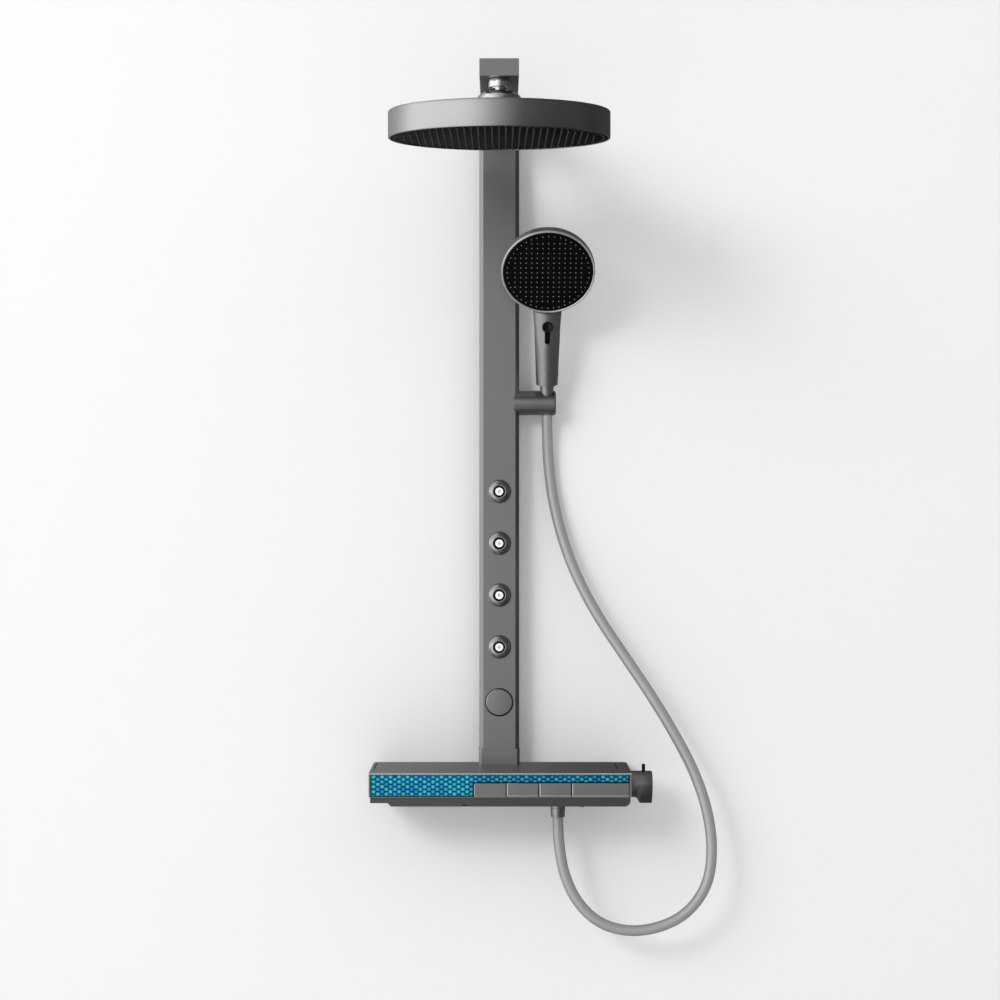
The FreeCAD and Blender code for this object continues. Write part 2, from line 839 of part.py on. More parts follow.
def make_jets():
    for number in range(SIZES["jet_count"]):
        level = "jet_top - jet_pitch * %d" % number
        cavity = "jet_hole - running_gap - shank_wall"
        turned_y(
            "jet_bezel_%d" % (number + 1),
            [
                ("0", "bezel_radius"),
                ("-bezel_edge", "bezel_radius"),
                ("-bezel_proud * 3 / 4", "bezel_mouth + bezel_crown"),
                ("-bezel_proud", "bezel_mouth + bezel_edge"),
                ("-bezel_proud", "bezel_mouth"),
                ("-bezel_proud * 2 / 3", cavity),
                (SHANK, cavity),
                (SHANK, "jet_hole - running_gap"),
                ("0", "jet_hole - running_gap"),
            ],
            y=COLUMN_FRONT, z=level,
        )
        bore = "boss_bore / 2"
        tip = "-jet_tip_proud + jet_ball_proud"
        turned_y(
            "jet_nozzle_%d" % (number + 1),
            [
                (tip, bore),
                (tip, "jet_tip_radius - jet_tip_round"),
                (tip + " + jet_tip_round", "jet_tip_radius"),
                ("-jet_ball_radius * cos(%s)" % BALL_STEP, "jet_tip_radius"),
            ] + [
                (
                    "-jet_ball_radius * cos(%s * %d)" % (BALL_STEP, step),
                    "jet_ball_radius * sin(%s * %d)" % (BALL_STEP, step),
                )
                for step in range(2, 5)
            ] + [
                ("jet_ball_radius * cos(%s)" % BALL_STEP, "jet_ball_radius * sin(%s)" % BALL_STEP),
                ("jet_ball_radius * cos(%s)" % BALL_STEP, bore),
            ],
            y=COLUMN_FRONT + " - jet_ball_proud", z=level,
        )


def make_manifold():
    """The pipe behind the jets, with a socket at each jet."""
    low = "button_level + button_valve_radius"
    high = "jet_top + jet_hole"
    middle = COLUMN_MIDDLE + " - %s"
    pipe = block(
        "manifold_duct", "manifold_radius * 2", "manifold_radius * 2", "%s - (%s)" % (high, low),
        "-manifold_radius", middle % "manifold_radius", low,
    )
    bore = block(
        "manifold_way", "manifold_bore * 2", "manifold_bore * 2", "%s - (%s) - column_wall" % (high, low),
        "-manifold_bore", middle % "manifold_bore", low,
    )
    depth = "manifold_radius"
    bosses, ways = [pipe], [bore]
    for number in range(SIZES["jet_count"]):
        level = "jet_top - jet_pitch * %d" % number
        boss = cylinder(
            "manifold_boss", "jet_hole - running_gap", depth, "0", COLUMN_MIDDLE, level, (1, 0, 0), "90"
        )
        bosses.append(boss)
        ways.append(
            cylinder(
                "manifold_port", "boss_bore", depth + " + cut_overrun",
                "0", COLUMN_MIDDLE, level, (1, 0, 0), "90",
            )
        )
    keep(cut("jet_manifold", fused("manifold_solid", bosses), fused("manifold_ways", ways)), "jet_manifold")


def make_button():
    """The flush round button, its return spring and the valve that it pushes."""
    front = COLUMN_FRONT
    back = "(-button_proud + button_thick)"
    turned_y(
        "round_button",
        [
            ("-button_proud", "0"),
            ("-button_proud", "button_radius - button_chamfer"),
            ("-button_proud + button_chamfer", "button_radius"),
            (back, "button_radius"),
            (back, "button_stem"),
            (back + " + button_stem_length", "button_stem"),
            (back + " + button_stem_length", "0"),
        ],
        y=front, z="button_level",
    )
    valve_front = front + " + %s + button_spring_room" % back
    barrel = cylinder(
        "button_barrel", "button_valve_radius", "-column_standoff - column_wall - (%s)" % valve_front,
        "0", "-column_standoff - column_wall", "button_level", (1, 0, 0), "90",
    )
    tail = cylinder(
        "button_tail", "manifold_radius", "button_level - valve_radius", "0", COLUMN_MIDDLE, "valve_radius"
    )
    bore = cylinder(
        "button_bore", "button_stem + slide_gap", "button_stem_length + cut_overrun",
        "0", valve_front + " + button_stem_length", "button_level", (1, 0, 0), "90",
    )
    way = cylinder(
        "button_way", "manifold_bore", "button_level - valve_radius - button_stem * 2",
        "0", COLUMN_MIDDLE, "valve_radius",
    )
    keep(
        cut("button_valve", fused("button_solid", [barrel, tail]), fused("button_ways", [bore, way])),
        "button_valve",
    )
    make_spring(
        "button_spring", "button_spring_radius", "button_spring_room",
        front + " + %s" % back, "0", "button_level", 2,
    )


def make_spring(label, radius, room, y, x, z, turns):
    """A compression spring along Y between two faces."""
    body = new_body(label, x, y, z)
    sketch = new_sketch(body, "YZ_Plane")
    draw_outline(
        sketch,
        box_outline(
            "running_gap", "running_gap + spring_wire * 2",
            radius + " - spring_wire", radius + " + spring_wire",
        ),
    )
    coil = body.newObject("PartDesign::AdditiveHelix", label + "_coil")
    coil.Profile = sketch
    coil.ReferenceAxis = (sketch, ["H_Axis"])
    coil.Mode = "height-turns-growth"
    bind(coil, "Height", "%s - spring_wire * 2 - running_gap * 2" % room)
    coil.Turns = turns
    body.Tip = coil


SHELF_FRONT = "(-shelf_front)"


def shelf_outline(inset, corner):
    """The valve unit's plan: square at the front and rounded towards the wall."""
    return [
        ("-shelf_left + %s" % inset, SHELF_FRONT + " + %s" % inset),
        ("shelf_right - %s" % inset, SHELF_FRONT + " + %s" % inset),
        ("shelf_right - %s" % inset, "-shelf_back - %s" % inset, corner),
        ("-shelf_left + %s" % inset, "-shelf_back - %s" % inset, corner),
    ]


def make_shelf():
    """The upper housing: shelf top, sides, back and the front frame round the panel and the keys."""
    body = new_body("shelf_tray")
    sketch = new_sketch(body, "XY_Plane", "shelf_split")
    draw_outline(sketch, shelf_outline("0", "shelf_corner"))
    pad(body, sketch, "shelf_top - shelf_split")
    well = new_sketch(body, "XY_Plane", "shelf_split - cut_overrun")
    draw_outline(well, shelf_outline("shelf_wall", "(shelf_corner - shelf_wall)"))
    pocket(body, well, "shelf_top - shelf_wall - shelf_split + cut_overrun", reverse=True)
    window = new_sketch(body, "XZ_Plane", "shelf_front + cut_overrun")
    draw_outline(
        window,
        box_outline(
            "-panel_left - running_gap", "plate_end + running_gap",
            "key_low - running_gap", "shelf_top - lip_height",
        ),
    )
    pocket(body, window, "shelf_wall + cut_overrun * 2")
    ports = new_sketch(body, "XZ_Plane", "shelf_back - cut_overrun")
    for side in ("-", ""):
        draw_circle(ports, side + "inlet_pitch / 2", "0", "union_radius + slide_gap")
    pocket(body, ports, "shelf_wall + cut_overrun * 2", reverse=True)
    side = new_sketch(body, "YZ_Plane", "shelf_right + cut_overrun")
    draw_circle(side, "-valve_axis", "0", "bonnet_radius + slide_gap")
    pocket(body, side, "shelf_wall + cut_overrun * 2")
    ways = new_sketch(body, "XY_Plane", "shelf_top + cut_overrun")
    draw_circle(ways, RISER_X, COLUMN_MIDDLE, "riser_radius + running_gap")
    draw_circle(ways, "0", COLUMN_MIDDLE, "manifold_radius + running_gap")
    pocket(body, ways, "shelf_wall + cut_overrun * 2")
    slots = new_sketch(body, "XY_Plane", "shelf_top + cut_overrun")
    for left in ("-slot_left", "slot_right"):
        draw_outline(
            slots,
            box_outline(left, left + " + slot_width", "-slot_start - slot_length", "-slot_start"),
        )
    pocket(body, slots, "slot_depth + cut_overrun")
    front_edge = [
        edge.Name for edge in named_edges(body)
        if edge.Low.y < value("-shelf_front + running_gap") and edge.Low.z > value("shelf_top - running_gap")
    ]
    bevel_edges(body, front_edge, "shelf_edge")


class NamedEdge:
    """One edge of a body with its name and the middle of its box."""

    def __init__(self, name, edge):
        self.Name = name
        self.Low = FreeCAD.Vector(edge.BoundBox.XMin, edge.BoundBox.YMax, edge.BoundBox.ZMin)


def named_edges(body):
    document.recompute()
    return [NamedEdge("Edge%d" % number, edge) for number, edge in enumerate(body.Shape.Edges, 1)]


def bevel_edges(body, names, size):
    base = body.Tip
    feature = body.newObject("PartDesign::Chamfer", body.Name + "_edges")
    feature.Base = (base, names)
    bind(feature, "Size", size)
    body.Tip = feature


def make_lower_cover():
    """The lower housing: a tray with a step up at its left end and the hose's hole in its floor."""
    top = "(shelf_split - cover_gap)"
    left = "(-shelf_left + cover_inset)"
    right = "(shelf_right - cover_inset)"
    body = new_body("lower_cover")
    sketch = new_sketch(body, "XZ_Plane", "shelf_front - cover_inset")
    step_floor = "cover_bottom + cover_step"
    draw_outline(
        sketch,
        [
            (left, top),
            (left, step_floor),
            ("-cover_step_at", step_floor),
            ("-cover_step_at + cover_step_run", "cover_bottom"),
            (right, "cover_bottom", "cover_corner"),
            (right, top),
        ],
    )
    depth = "(shelf_front - shelf_back - cover_inset * 2)"
    pad(body, sketch, depth, reverse=True)
    well = new_sketch(body, "XZ_Plane", "shelf_front - cover_inset - shelf_wall")
    draw_outline(
        well,
        [
            (left + " + shelf_wall", top + " + cut_overrun"),
            (left + " + shelf_wall", step_floor + " + shelf_wall"),
            ("-cover_step_at + shelf_wall", step_floor + " + shelf_wall"),
            ("-cover_step_at + cover_step_run + shelf_wall", "cover_bottom + shelf_wall"),
            (right + " - shelf_wall", "cover_bottom + shelf_wall", "(cover_corner - shelf_wall)"),
            (right + " - shelf_wall", top + " + cut_overrun"),
        ],
    )
    pocket(body, well, depth + " - shelf_wall * 2")
    ports = new_sketch(body, "XZ_Plane", "shelf_back - cut_overrun")
    for side in ("-", ""):
        draw_circle(ports, side + "inlet_pitch / 2", "0", "union_radius + slide_gap")
    pocket(body, ports, "shelf_wall + cover_inset + cut_overrun * 2", reverse=True)
    side = new_sketch(body, "YZ_Plane", "shelf_right + cut_overrun")
    draw_circle(side, "-valve_axis", "0", "bonnet_radius + slide_gap")
    pocket(body, side, "shelf_wall + cover_inset + cut_overrun * 2")
    floor = new_sketch(body, "XY_Plane", "cover_bottom - cut_overrun")
    draw_circle(floor, "outlet_at", "-valve_axis", "lower_nut_radius + slide_gap")
    pocket(body, floor, "shelf_wall + cut_overrun * 2", reverse=True)
    notch = new_sketch(body, "XZ_Plane", "shelf_front")
    draw_outline(
        notch,
        box_outline(
            "notch_at - notch_width / 2", "notch_at + notch_width / 2",
            "cover_bottom - cut_overrun", "cover_bottom + notch_height",
        ),
    )
    pocket(body, notch, "cover_inset + shelf_wall / 2")


def make_cover_screw():
    """The headed screw that holds the lower housing near its front edge."""
    low = "cover_bottom"
    turned_z(
        "cover_screw",
        [
            ("0", low + " - foot_screw_proud"),
            ("foot_screw_radius", low + " - foot_screw_proud"),
            ("foot_screw_radius", low),
            ("0", low),
        ],
        x="foot_screw_at", y="-shelf_front + cover_inset + foot_screw_radius * 2",
    )


def panel_outline(inset):
    """The light panel's L shape: a tall field at the left and a strip that runs on over the keys."""
    low = "panel_low + %s" % inset
    high = "shelf_top - lip_height - running_gap - %s" % inset
    return [
        ("-panel_left + %s" % inset, low),
        ("panel_step_x - %s" % inset, low, "panel_round"),
        ("panel_step_x - %s" % inset, "panel_step_z + %s" % inset, "panel_round"),
        ("panel_right - %s" % inset, "panel_step_z + %s" % inset, "panel_round / 2"),
        ("panel_right - %s" % inset, high),
        ("-panel_left + %s" % inset, high),
    ]


def make_light():
    body = new_body("light_panel")
    sketch = new_sketch(body, "XZ_Plane", "shelf_front - panel_recess")
    draw_outline(sketch, panel_outline("0"))
    pad(body, sketch, "panel_thick", reverse=True)
    board = new_body("light_board")
    sketch = new_sketch(board, "XZ_Plane", "shelf_front - panel_recess - panel_thick")
    draw_outline(sketch, panel_outline("board_margin"))
    pad(board, sketch, "board_thick", reverse=True)


def key_left(number):
    return "(key_start + (key_width + key_gap) * %d)" % number


def make_keys():
    """Three push keys with their plungers, springs and valve cartridges, and the plate beside them."""
    middle = "((key_top + key_low) / 2)"
    for number in range(3):
        left = key_left(number)
        body = new_body("key_%d" % (number + 1))
        sketch = new_sketch(body, "XZ_Plane", "shelf_front")
        corners = box_outline(left, left + " + key_width", "key_low", "key_top")
        if number == 0:
            corners[3] = corners[3] + ("key_corner",)
        draw_outline(sketch, corners)
        pad(body, sketch, "key_thick", reverse=True)
        plunger = new_sketch(body, "XZ_Plane", "shelf_front - key_thick")
        centre = left + " + key_width / 2"
        draw_circle(plunger, centre, middle, "plunger_radius")
        reach = "shelf_front - key_thick - valve_axis - valve_radius - seat_proud - cartridge_length"
        pad(body, plunger, reach + " + plunger_depth", reverse=True)
        face = [
            edge.Name for edge in named_edges(body) if edge.Low.y < value("-shelf_front + running_gap")
        ]
        bevel_edges(body, face, "key_round")
        label = "key_cartridge_%d" % (number + 1)
        front = "(-valve_axis - valve_radius - seat_proud - cartridge_length)"
        turned_y(
            label,
            [
                (front, "plunger_radius + running_gap"),
                (front, "cartridge_radius"),
                ("-valve_axis - valve_radius - seat_proud", "cartridge_radius"),
                ("-valve_axis - valve_radius - seat_proud", "0"),
                (front + " + plunger_depth * 2", "0"),
                (front + " + plunger_depth * 2", "plunger_radius + running_gap"),
            ],
            x=centre, z=middle,
        )
        make_spring(
            "key_spring_%d" % (number + 1), "key_spring_radius", reach,
            front + " - (%s)" % reach, centre, middle, 2,
        )
    plate = new_body("fascia_plate")
    sketch = new_sketch(plate, "XZ_Plane", "shelf_front")
    draw_outline(sketch, box_outline(key_left(3), "plate_end", "key_low", "key_top"))
    pad(plate, sketch, "key_thick", reverse=True)
    face = [edge.Name for edge in named_edges(plate) if edge.Low.y < value("-shelf_front + running_gap")]
    bevel_edges(plate, face, "key_round")


def make_valve():
    """The brass body: a barrel along X with two inlet legs, three key seats and the hose's boss."""
    barrel = block(
        "valve_barrel", "valve_left + valve_right", "valve_radius * 2", "valve_radius * 2",
        "-valve_left", "-valve_axis - valve_radius", "-valve_radius",
    )
    chamber = cylinder(
        "valve_chamber", "inlet_bore + slide_gap", "valve_left + valve_right",
        "-valve_left + valve_radius", "-valve_axis", "0", (0, 1, 0), "90",
    )
    things, ways = [barrel], [chamber]
    for name, side in (("left", "-"), ("right", "")):
        spot = side + "inlet_pitch / 2"
        length = "valve_axis - union_thread - slide_gap"
        things.append(
            cylinder(
                "valve_leg_" + name, "inlet_leg", length,
                spot, "-union_thread - slide_gap", "0", (1, 0, 0), "90",
            )
        )
        ways.append(cylinder("valve_way_" + name, "inlet_bore", length, spot, "0", "0", (1, 0, 0), "90"))
    middle = "((key_top + key_low) / 2)"
    for number in range(3):
        centre = key_left(number) + " + key_width / 2"
        things.append(
            cylinder(
                "valve_seat", "cartridge_radius", "valve_radius + seat_proud",
                centre, "-valve_axis", middle, (1, 0, 0), "90",
            )
        )
    for name, offset, radius in (("rise", RISER_X, "riser_radius"), ("tail", "0", "manifold_radius")):
        things.append(
            cylinder(
                "valve_%s_arm" % name, radius, "valve_axis + " + COLUMN_MIDDLE,
                offset, COLUMN_MIDDLE, "0", (1, 0, 0), "90",
            )
        )
        collar = "(%s + slide_gap * 2)" % radius
        things.append(
            cylinder(
                "valve_%s_socket" % name, collar, "valve_radius + " + collar,
                offset, COLUMN_MIDDLE, "-" + collar,
            )
        )
    things.append(
        cylinder(
            "valve_boss", "outlet_boss", "outlet_boss_drop",
            "outlet_at", "-valve_axis", "-outlet_boss_drop",
        )
    )
    solid = fused("valve_solid", things)
    keep(cut("valve_body", solid, fused("valve_ways", ways)), "valve_body")
    start = "valve_right"
    end = "shelf_right + bonnet_proud"
    turned_x(
        "thermostat_cartridge",
        [
            (start, "0"),
            (start, "bonnet_radius"),
            (end, "bonnet_radius"),
            (end, "spindle_radius"),
            (end + " + spindle_length", "spindle_radius"),
            (end + " + spindle_length", "0"),
        ],
        y="-valve_axis",
    )
    turned_z(
        "hose_outlet",
        [
            ("thread_bore", "-outlet_drop"),
            ("thread_radius", "-outlet_drop"),
            ("thread_radius", "-outlet_boss_drop"),
            ("thread_bore", "-outlet_boss_drop"),
        ],
        x="outlet_at", y="-valve_axis",
    )


def make_unions():
    """The two union nuts that meet the wall's threads, as one group."""
    nuts = []
    for name, side in (("left", "-"), ("right", "")):
        spot = side + "inlet_pitch / 2"
        outer = cylinder(
            "union_outer_" + name, "union_radius", "union_length", spot, "0", "0", (1, 0, 0), "90"
        )
        thread = cylinder(
            "union_thread_" + name, "union_bore", "union_thread + cut_overrun",
            spot, "cut_overrun", "0", (1, 0, 0), "90",
        )
        rest = cylinder(
            "union_rest_" + name, "inlet_leg + running_gap", "union_length + cut_overrun",
            spot, "0", "0", (1, 0, 0), "90",
        )
        nuts.append(cut("union_" + name, outer, fused("union_hole_" + name, [thread, rest])))
    group = document.addObject("Part::Compound", "inlet_unions")
    group.Links = nuts
    place(group)
    keep(group, "inlet_unions")


def make_knob():
    """The temperature knob: a round neck, and a body whose finger lug hangs below it."""
    body = new_body("knob", y="-valve_axis")
    neck = new_sketch(body, "XZ_Plane")
    draw_outline(
        neck,
        [
            ("knob_start", "bonnet_radius + running_gap"),
            ("knob_start", "knob_radius"),
            ("knob_end - knob_edge", "knob_radius"),
            ("knob_end", "knob_radius - knob_edge"),
            ("knob_end", "0"),
            ("shelf_right + bonnet_proud + spindle_length + running_gap", "0"),
            ("shelf_right + bonnet_proud + spindle_length + running_gap", "spindle_radius + running_gap"),
            ("knob_start + knob_recess", "spindle_radius + running_gap"),
            ("knob_start + knob_recess", "bonnet_radius + running_gap"),
        ],
    )
    spin(body, neck, "H_Axis")
    lug = new_sketch(body, "YZ_Plane", "lug_start")
    drop = "-lug_drop"
    draw_outline(
        lug,
        [
            ("-lug_radius * 3 / 2", drop, "lug_radius"),
            ("lug_radius * 3 / 2", drop, "lug_radius"),
            ("lug_radius * 2", "-lug_radius"),
            ("-lug_radius * 2", "-lug_radius"),
        ],
    )
    pad(body, lug, "knob_end - lug_start - knob_edge")
    hole = new_sketch(body, "XY_Plane", "knob_radius + cut_overrun")
    draw_circle(hole, "pin_at", "0", "pin_radius + running_gap")
    pocket(body, hole, "pin_sunk + cut_overrun + running_gap")
    turned_z(
        "knob_pin",
        [
            ("0", "knob_radius - pin_sunk + button_chamfer * 4"),
            ("pin_radius", "knob_radius - pin_sunk + button_chamfer * 4"),
            ("pin_radius", "knob_radius + pin_proud - pin_radius / 4"),
            ("pin_radius * 3 / 4", "knob_radius + pin_proud"),
            ("0", "knob_radius + pin_proud"),
        ],
        x="pin_at", y="-valve_axis",
    )


def make_lower_nut():
    turned_z(
        "hose_nut_lower",
        [
            ("hose_radius + running_gap", "-lower_nut_drop"),
            ("lower_nut_mouth - nut_chamfer / 2", "-lower_nut_drop"),
            ("lower_nut_mouth", "-lower_nut_drop + nut_chamfer"),
            ("lower_nut_radius", "-lower_nut_top - nut_chamfer / 2"),
            ("lower_nut_radius - nut_chamfer / 2", "-lower_nut_top"),
            ("thread_radius + running_gap", "-lower_nut_top"),
            ("thread_radius + running_gap", "-outlet_drop"),
            ("hose_radius + running_gap", "-outlet_drop"),
        ],
        x="outlet_at", y="-valve_axis",
    )


def make_holder():
    """The stub fixed to the column's corner, and the barrel that turns on its shaft."""
    lay = dict(axis=(0, 1, 0), turn="90")
    stub = cylinder(
        "holder_stub", "holder_radius", "holder_split - holder_start",
        "holder_start", COLUMN_MIDDLE, "holder_level", **lay
    )
    shaft = cylinder(
        "holder_shaft_rod", "holder_shaft", "shaft_length",
        "holder_split", COLUMN_MIDDLE, "holder_level", **lay
    )
    core = new_body("column_core", exported=False)
    sketch = new_sketch(core, "XY_Plane")
    draw_outline(sketch, column_outline("0", "column_bevel"))
    pad(core, sketch, "column_top")
    keep(cut("holder_base", fused("holder_base_solid", [stub, shaft]), core), "holder_base")

    barrel = new_body("barrel_rod", y=COLUMN_MIDDLE, z="holder_level", exported=False)
    sketch = new_sketch(barrel, "XZ_Plane")
    draw_outline(
        sketch,
        [
            ("holder_split + running_gap", "0"),
            ("holder_split + running_gap", "holder_radius"),
            ("holder_end - holder_round", "holder_radius"),
            ("holder_end", "holder_radius - holder_round"),
            ("holder_end", "0"),
        ],
    )
    spin(barrel, sketch, "H_Axis")
    bore = cylinder(
        "barrel_bore", "holder_shaft + running_gap", "shaft_length + slide_gap + cut_overrun",
        "holder_split - cut_overrun", COLUMN_MIDDLE, "holder_level", **lay
    )
    cradle = document.addObject("Part::Cone", "barrel_cradle")
    low, high = "(-holder_radius - cut_overrun)", "(cradle_flat + cut_overrun)"
    slope = "((nut_mid_radius - nut_low_radius) / (nut_low + cradle_flat))"
    bind(cradle, "Radius1", "nut_low_radius + running_gap + %s * (%s + nut_low)" % (slope, low))
    bind(cradle, "Radius2", "nut_low_radius + running_gap + %s * (%s + nut_low)" % (slope, high))
    bind(cradle, "Height", high + " - " + low)
    tilted = "holder_tilt"
    place(
        cradle, "cradle_at", COLUMN_MIDDLE + " - %s * sin(holder_tilt)" % low,
        "holder_level + %s * cos(holder_tilt)" % low, (1, 0, 0), tilted,
    )
    flat = cylinder(
        "barrel_flat", "cradle_flat_radius", "holder_radius",
        "cradle_at", COLUMN_MIDDLE + " - cradle_flat * sin(holder_tilt)",
        "holder_level + cradle_flat * cos(holder_tilt)", (1, 0, 0), tilted,
    )
    keep(cut("holder_barrel", barrel, fused("barrel_holes", [bore, cradle, flat])), "holder_barrel")


def spray_place(thing, s="0", y="0", turn="holder_tilt"):
    """Puts a piece in the hand shower's frame: Z along its handle, its origin on the holder's axis."""
    place(
        thing, "cradle_at",
        "%s + (%s) * cos(holder_tilt) - (%s) * sin(holder_tilt)" % (COLUMN_MIDDLE, y, s),
        "holder_level + (%s) * sin(holder_tilt) + (%s) * cos(holder_tilt)" % (y, s),
        (1, 0, 0), turn,
    )


def spray_body(label, exported=True):
    body = document.addObject("PartDesign::Body", label)
    spray_place(body)
    return keep(body, label) if exported else body


NECK_FRONT = "(handle_neck_deep / 2 + handle_neck_shift)"
NECK_RISE = "(handle_mid_drop - handle_neck_drop)"
SLOPE = "(atan((handle_mid_deep / 2 - %s) / %s) / 1 deg)" % (NECK_FRONT, NECK_RISE)
SLOT_FRONT = "(%s + (handle_mid_deep / 2 - %s) * (slot_drop - handle_neck_drop) / %s)" % (
    NECK_FRONT, NECK_FRONT, NECK_RISE,
)


def slide_body(label, exported=True):
    """A body in the thumb slide's frame: its origin on the handle's front, Z up along that front."""
    body = document.addObject("PartDesign::Body", label)
    spray_place(body, "spray_height - slot_drop", "-" + SLOT_FRONT, "holder_tilt - " + SLOPE)
    return keep(body, label) if exported else body


def disc_sketch(body):
    """A sketch whose vertical axis is the spray disc's axis, pointing out of its face."""
    return new_sketch(
        body, "YZ_Plane", shift=("-spray_shift", "spray_height"), turn="90 + spray_tilt"
    )


def make_hose_nut():
    body = spray_body("hose_nut_upper")
    sketch = new_sketch(body, "XZ_Plane")
    bore = "hose_radius + running_gap"
    draw_outline(
        sketch,
        [
            (bore, "-nut_low"),
            ("nut_low_radius", "-nut_low"),
            ("nut_mid_radius", "cradle_flat"),
            ("nut_top_radius", "nut_top"),
            ("nut_thread", "nut_top"),
            ("nut_thread", "nut_seat"),
            (bore, "nut_seat"),
        ],
    )
    spin(body, sketch, "V_Axis")


def handle_section(name, s, width, deep, shift="0"):
    section = document.addObject("Part::Ellipse", name)
    bind(section, "MajorRadius", width + " / 2")
    bind(section, "MinorRadius", deep + " / 2")
    spray_place(section, s, "-" + shift)
    return section


def make_spray():
    """The hand shower's moulded housing: a handle lofted into the back of a leaning round head."""
    sections = [
        handle_section("handle_a", "handle_start", "handle_width", "handle_deep"),
        handle_section(
            "handle_b", "spray_height - handle_mid_drop", "handle_mid_width", "handle_mid_deep"
        ),
        handle_section(
            "handle_c", "spray_height - handle_neck_drop",
            "handle_neck_width", "handle_neck_deep", "handle_neck_shift",
        ),
        handle_section(
            "handle_d", "spray_height - handle_end_drop",
            "handle_end_width", "handle_end_deep", "handle_end_shift",
        ),
    ]
    loft = document.addObject("Part::Loft", "handle_loft")
    loft.Sections = sections
    loft.Solid = True
    loft.Ruled = True
    disc = spray_body("spray_disc", exported=False)
    sketch = disc_sketch(disc)
    draw_outline(
        sketch,
        [
            ("0", "-spray_rear"),
            ("spray_radius * 2 / 3", "-spray_rear"),
            ("spray_radius - spray_crown / 2", "-spray_rear * 3 / 4"),
            ("spray_radius", "-spray_rear / 4"),
            ("spray_radius", "spray_front - rim_depth"),
            ("0", "spray_front - rim_depth"),
        ],
    )
    spin(disc, sketch, "V_Axis")
    housing = fused("spray_solid", [loft, disc])
    well = spray_body("spray_well", exported=False)
    sketch = disc_sketch(well)
    draw_outline(
        sketch,
        [
            ("0", "spray_floor"),
            ("spray_cup", "spray_floor"),
            ("spray_cup", "spray_front + cut_overrun"),
            ("0", "spray_front + cut_overrun"),
        ],
    )
    spin(well, sketch, "V_Axis")
    skirt = spray_body("spray_skirt", exported=False)
    sketch = new_sketch(skirt, "XZ_Plane")
    roof = "handle_start + skirt_depth"
    spigot = "nut_thread - slide_gap"
    mouth = "nut_top_radius + slide_gap"
    draw_outline(
        sketch,
        [
            ("0", "handle_start - cut_overrun"),
            (mouth, "handle_start - cut_overrun"),
            (mouth, roof),
            (spigot, roof),
            (spigot, "nut_seat + running_gap"),
            ("0", "nut_seat + running_gap"),
        ],
    )
    spin(skirt, sketch, "V_Axis")
    groove = slide_body("spray_groove", exported=False)
    sketch = new_sketch(groove, "XZ_Plane", "-slot_sink")
    draw_slot(sketch, "slot_half")
    pad(groove, sketch, "slot_sink + spray_crown")
    tools = fused("spray_tools", [well, skirt, groove])
    keep(cut("handset_body", housing, tools), "handset_body")


def draw_slot(sketch, half):
    """A round-ended slot that runs down from the frame's origin."""
    draw_outline(
        sketch,
        [
            ("-(%s)" % half, "-slot_run - (%s)" % half, half + " * 0.98"),
            (half, "-slot_run - (%s)" % half, half + " * 0.98"),
            (half, half, half + " * 0.98"),
            ("-(%s)" % half, half, half + " * 0.98"),
        ],
    )


def make_spray_face():
    """The rim ring, the black face, and the thumb slide on its slotted track."""
    rim = spray_body("handset_rim")
    sketch = disc_sketch(rim)
    draw_outline(
        sketch,
        [
            ("spray_cup", "spray_front - rim_depth"),
            ("spray_radius", "spray_front - rim_depth"),
            ("spray_radius", "spray_front - rim_chamfer"),
            ("spray_radius - rim_chamfer", "spray_front"),
            ("spray_cup", "spray_front"),
        ],
    )
    spin(rim, sketch, "V_Axis")
    face = spray_body("handset_face_plate")
    sketch = disc_sketch(face)
    edge = "spray_cup - running_gap"
    draw_outline(
        sketch,
        [
            ("0", "spray_floor + spray_mat"),
            (edge, "spray_floor + spray_mat"),
            (edge, "spray_floor + spray_mat + spray_plate - rim_chamfer / 4"),
            ("0", "spray_floor + spray_mat + spray_plate"),
        ],
    )
    spin(face, sketch, "V_Axis")
    plate = slide_body("handset_slot_plate")
    sketch = new_sketch(plate, "XZ_Plane", "-slot_sink")
    draw_slot(sketch, "(slot_half - running_gap / 3)")
    pad(plate, sketch, "slot_plate")
    thumb = slide_body("handset_thumb_slide")
    cap = new_sketch(thumb, "XZ_Plane", "running_gap")
    draw_circle(cap, "0", "0", "thumb_radius")
    pad(thumb, cap, "thumb_thick")
    stem = new_sketch(thumb, "XZ_Plane", "running_gap")
    draw_circle(stem, "0", "0", "slot_half - slide_gap")
    pad(thumb, stem, "slot_sink - slot_plate", reverse=True)
    rims = [edge.Name for edge in named_edges(thumb) if edge.Low.y < value("-thumb_thick")]
    bevel_edges(thumb, rims, "thumb_round")


# The hose's route from inside the upper nut to inside the lower nut, in millimetres.
HOSE_ROUTE = [
    (77.6, -12.5, 443), (92, -19, 376), (114, -30, 313), (147, -41, 250), (186, -51, 192),
    (227.5, -61, 131), (262, -69, 74), (292, -76, 17), (311.4, -82, -42), (317.9, -86, -100),
    (309.5, -89, -152), (279.4, -90, -192), (239.3, -90, -212.5), (193, -90, -219),
    (149.5, -89, -207.4), (116.8, -86, -178), (97, -83, -137), (90, -81, -100),
]


